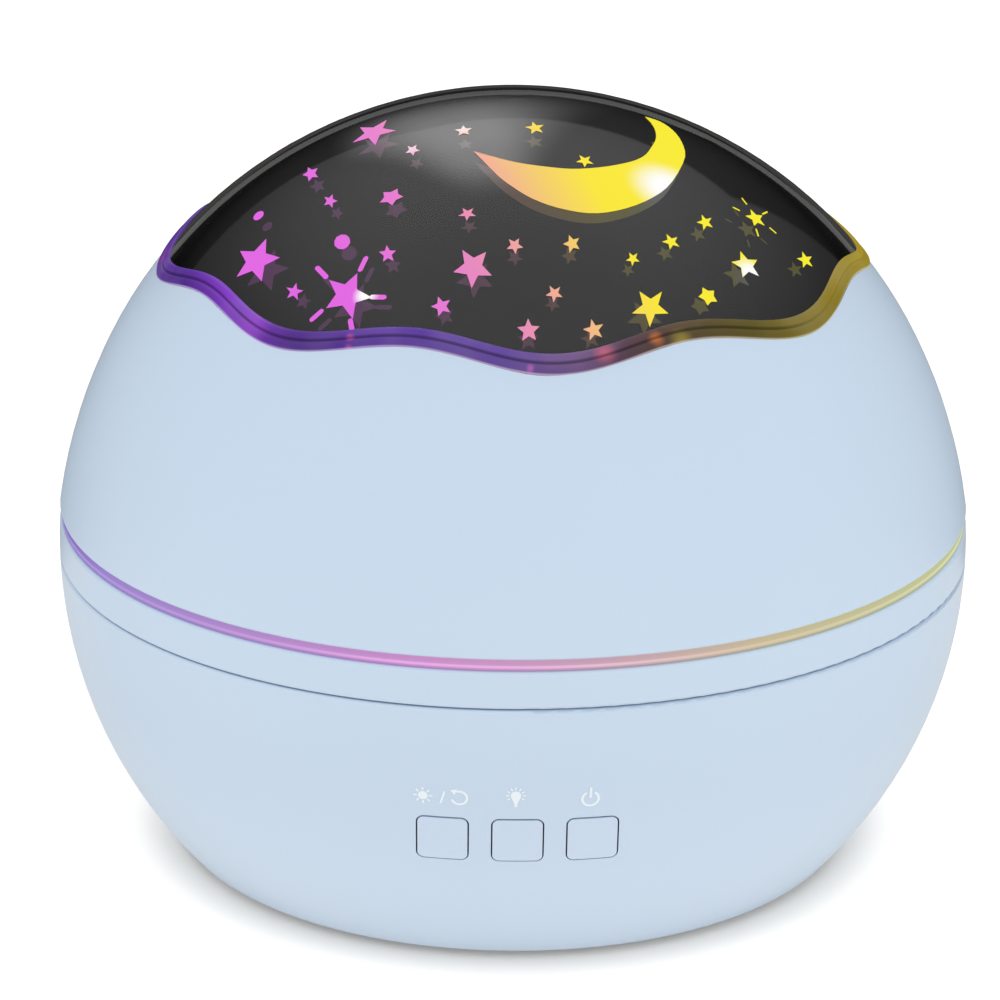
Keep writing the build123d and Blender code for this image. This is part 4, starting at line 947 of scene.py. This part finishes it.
# floor and room; brightness is 1 for white, reaches are metres, and places in the room are degrees
# up from the level and to the right of what is straight behind the object
studio = {
    "floorReach": 4.0,
    "paper": "f8f3ec",
    # glow of the paper close to the object and away from it, as the camera sees it; the lower glow close to
    # it is a painted contact shadow
    "paintedShadowGlow": 0.1,
    "farGlow": 0.38,
    "paintedShadowFrom": 0.049,
    "paintedShadowTo": 0.057,
    # glow of the floor behind the object, in gloss, and where on Y it starts
    "backFloor": 0.07,
    "backFrom": 0.09,
    "backTo": 0.11,
    "sky": 0.84,  # light of the room on the object
    # brightness of the room in gloss, above, and its share of that near the floor
    "mirrored": 1.12,
    "lowShare": 0.1,
    "fallFrom": 8.0,
    "fallTo": 68.0,
    # a dark flag behind the object, in gloss, and what it gains with each degree above the fall
    "flag": 0.015,
    "flagRise": 0.006,
    "flagSide": -3.0,
    "flagHalf": 36.0,
    "flagTop": 30.0,
    "flagSoft": 1.0,
    # where its top begins to fall to the left, and how fast
    "flagBend": -11.0,
    "flagLean": 0.62,
    # a soft box over the flag, in gloss, from its lower edge to its upper one and from its middle out
    "box": 1.75,
    "boxSide": -7.0,
    "lowerFrom": 6.0,
    "lowerTo": 44.0,
    "upperFrom": 50.0,
    "upperTo": 68.0,
    "outFrom": 3.0,
    "outTo": 17.0,
    # its left side draws in below this height
    "boxFoot": 33.0,
    "boxDraw": 0.0028,
}


def buildFloor():
    reach = studio["floorReach"]
    corners = [(-reach, -reach, 0), (reach, -reach, 0), (reach, reach, 0), (-reach, reach, 0)]
    floor = addMesh("floor", corners, [(0, 1, 2, 3)])
    finish = Finish("floorPaper")
    seen = finish.add("ShaderNodeLightPath", output="Is Camera Ray")
    (glossy,) = finish.others(seen, "Is Glossy Ray")
    away = finish.add("ShaderNodeVectorMath", {"operation": "LENGTH"}, {0: finish.place}, "Value")
    # painted shadow: the paper glows less close to the object
    outward = finish.smooth(away, studio["paintedShadowFrom"], studio["paintedShadowTo"])
    level = studio["paintedShadowGlow"] + outward * (studio["farGlow"] - studio["paintedShadowGlow"])
    paper = finish.add("ShaderNodeBsdfDiffuse", {}, {"Color": paint(studio["paper"])})
    glow = finish.add("ShaderNodeEmission", {}, {"Color": white, "Strength": seen * level})
    both = finish.add("ShaderNodeAddShader", {}, {0: paper, 1: glow})
    dark = finish.add("ShaderNodeEmission", {}, {"Color": white, "Strength": studio["backFloor"]})
    behind = finish.smooth(finish.axis(finish.place, "Y"), studio["backFrom"], studio["backTo"])
    shader = finish.add("ShaderNodeMixShader", {}, {0: glossy * behind, 1: both, 2: dark})
    floor.data.materials.append(finish.show(shader))


def flagInGloss(bench, rise, side):
    # where the dark flag stands: a broad panel whose top falls to the left
    soft = studio["flagSoft"]
    leaning = maths("MINIMUM", side - studio["flagBend"], 0) * studio["flagLean"]
    low = 1 - bench.smooth(rise - leaning, studio["flagTop"] - soft, studio["flagTop"] + soft)
    aside = abs(side - studio["flagSide"])
    narrow = 1 - bench.smooth(aside, studio["flagHalf"] - soft, studio["flagHalf"] + soft)
    return low * narrow


def boxInGloss(bench, rise, side):
    # where the soft box shines: a tall panel with soft edges, drawn in at the lower left
    under = maths("MAXIMUM", studio["boxFoot"] - rise, 0)
    rightward = side - studio["boxSide"]
    leftward = -1 * rightward * (1 + under * under * studio["boxDraw"])
    spread = maths("MAXIMUM", rightward, leftward)
    upright = bench.smooth(rise, studio["lowerFrom"], studio["lowerTo"]) * (
        1 - bench.smooth(rise, studio["upperFrom"], studio["upperTo"]))
    return upright * (1 - bench.smooth(spread, studio["outFrom"], studio["outTo"]))


def buildSky():
    world = bpy.data.worlds.new("studioRoom")
    bpy.context.scene.world = world
    world.use_nodes = True
    bench = Bench(world.node_tree)
    seen = bench.add("ShaderNodeLightPath", output="Is Camera Ray")
    glossy, through = bench.others(seen, "Is Glossy Ray", "Is Transmission Ray")
    direction = bench.add("ShaderNodeTexCoord", output="Generated")
    x, y, z = [bench.axis(direction, name) for name in "XYZ"]
    rise = maths("ARCSINE", z) * (180 / math.pi)
    side = maths("ARCTAN2", x, y) * (180 / math.pi)  # 0 straight behind the object
    flag = flagInGloss(bench, rise, side)
    dark = maths("MAXIMUM", rise - studio["fallFrom"], 0) * studio["flagRise"] + studio["flag"]
    rising = bench.smooth(rise, studio["fallFrom"], studio["fallTo"])
    room = rising * (1 - studio["lowShare"]) + studio["lowShare"]
    box = boxInGloss(bench, rise, side)
    gloss = (1 - flag) * room * studio["mirrored"] + flag * dark + box * studio["box"]
    mirrored = maths("MAXIMUM", glossy, through)
    level = seen + (1 - seen) * (mirrored * gloss + (1 - mirrored) * studio["sky"])
    sky = bench.add("ShaderNodeBackground", {}, {"Color": white, "Strength": level})
    bench.add("ShaderNodeOutputWorld", {}, {"Surface": sky})


softBoxes = {
    # place, aim, width, height, watts
    "softBoxTop": ((-0.3, -1.1, 1.3), (0, 0, 0.05), 1.2, 0.8, 0.7),
    "softBoxFront": ((0.0, -1.3, 0.12), (0, 0, 0.04), 1.8, 0.22, 2.9),
    "softBoxLeft": ((-1.2, -0.3, 0.14), (0, 0, 0.04), 0.7, 0.26, 1.6),
    "softBoxRight": ((1.2, -0.3, 0.14), (0, 0, 0.04), 0.7, 0.26, 1.9),
}


def buildLamp(name, place, aim, width, height, watts):
    light = bpy.data.lights.new(name, "AREA")
    light.shape = "RECTANGLE"
    light.size, light.size_y = width, height
    light.energy = watts
    lamp = bpy.data.objects.new(name, light)
    bpy.context.scene.collection.objects.link(lamp)
    place, aim = Vector(place), Vector(aim)
    turned = (aim - place).to_track_quat("-Z", "Y").to_matrix().to_4x4()
    lamp.matrix_world = Matrix.Translation(place) @ turned
    lamp.visible_glossy = False  # the room gives the gloss


view = {
    "eye": Vector((-0.00863, -0.54903, 0.2454)),
    "aim": Vector((-0.00187, 0.00003, 0.04875)),
    "lens": 145.9,
    "sensor": 36.0,
    "roll": math.radians(0.4186),
}


def buildCamera():
    data = bpy.data.cameras.new("camera")
    data.lens = view["lens"]
    data.sensor_width = view["sensor"]
    camera = bpy.data.objects.new("camera", data)
    bpy.context.scene.collection.objects.link(camera)
    ahead = (view["aim"] - view["eye"]).normalized()
    right = ahead.cross(Vector((0, 0, 1))).normalized()
    up = right.cross(ahead)
    turned = math.cos(view["roll"]) * right + math.sin(view["roll"]) * up
    axes = Matrix((turned, turned.cross(ahead), -ahead)).transposed()
    camera.matrix_world = Matrix.Translation(view["eye"]) @ axes.to_4x4()
    bpy.context.scene.camera = camera


buildFloor()
buildSky()
for lampName, settings in softBoxes.items():
    buildLamp(lampName, *settings)
buildCamera()
bpy.context.scene.view_settings.view_transform = "Standard"
print("floor, light and camera set")
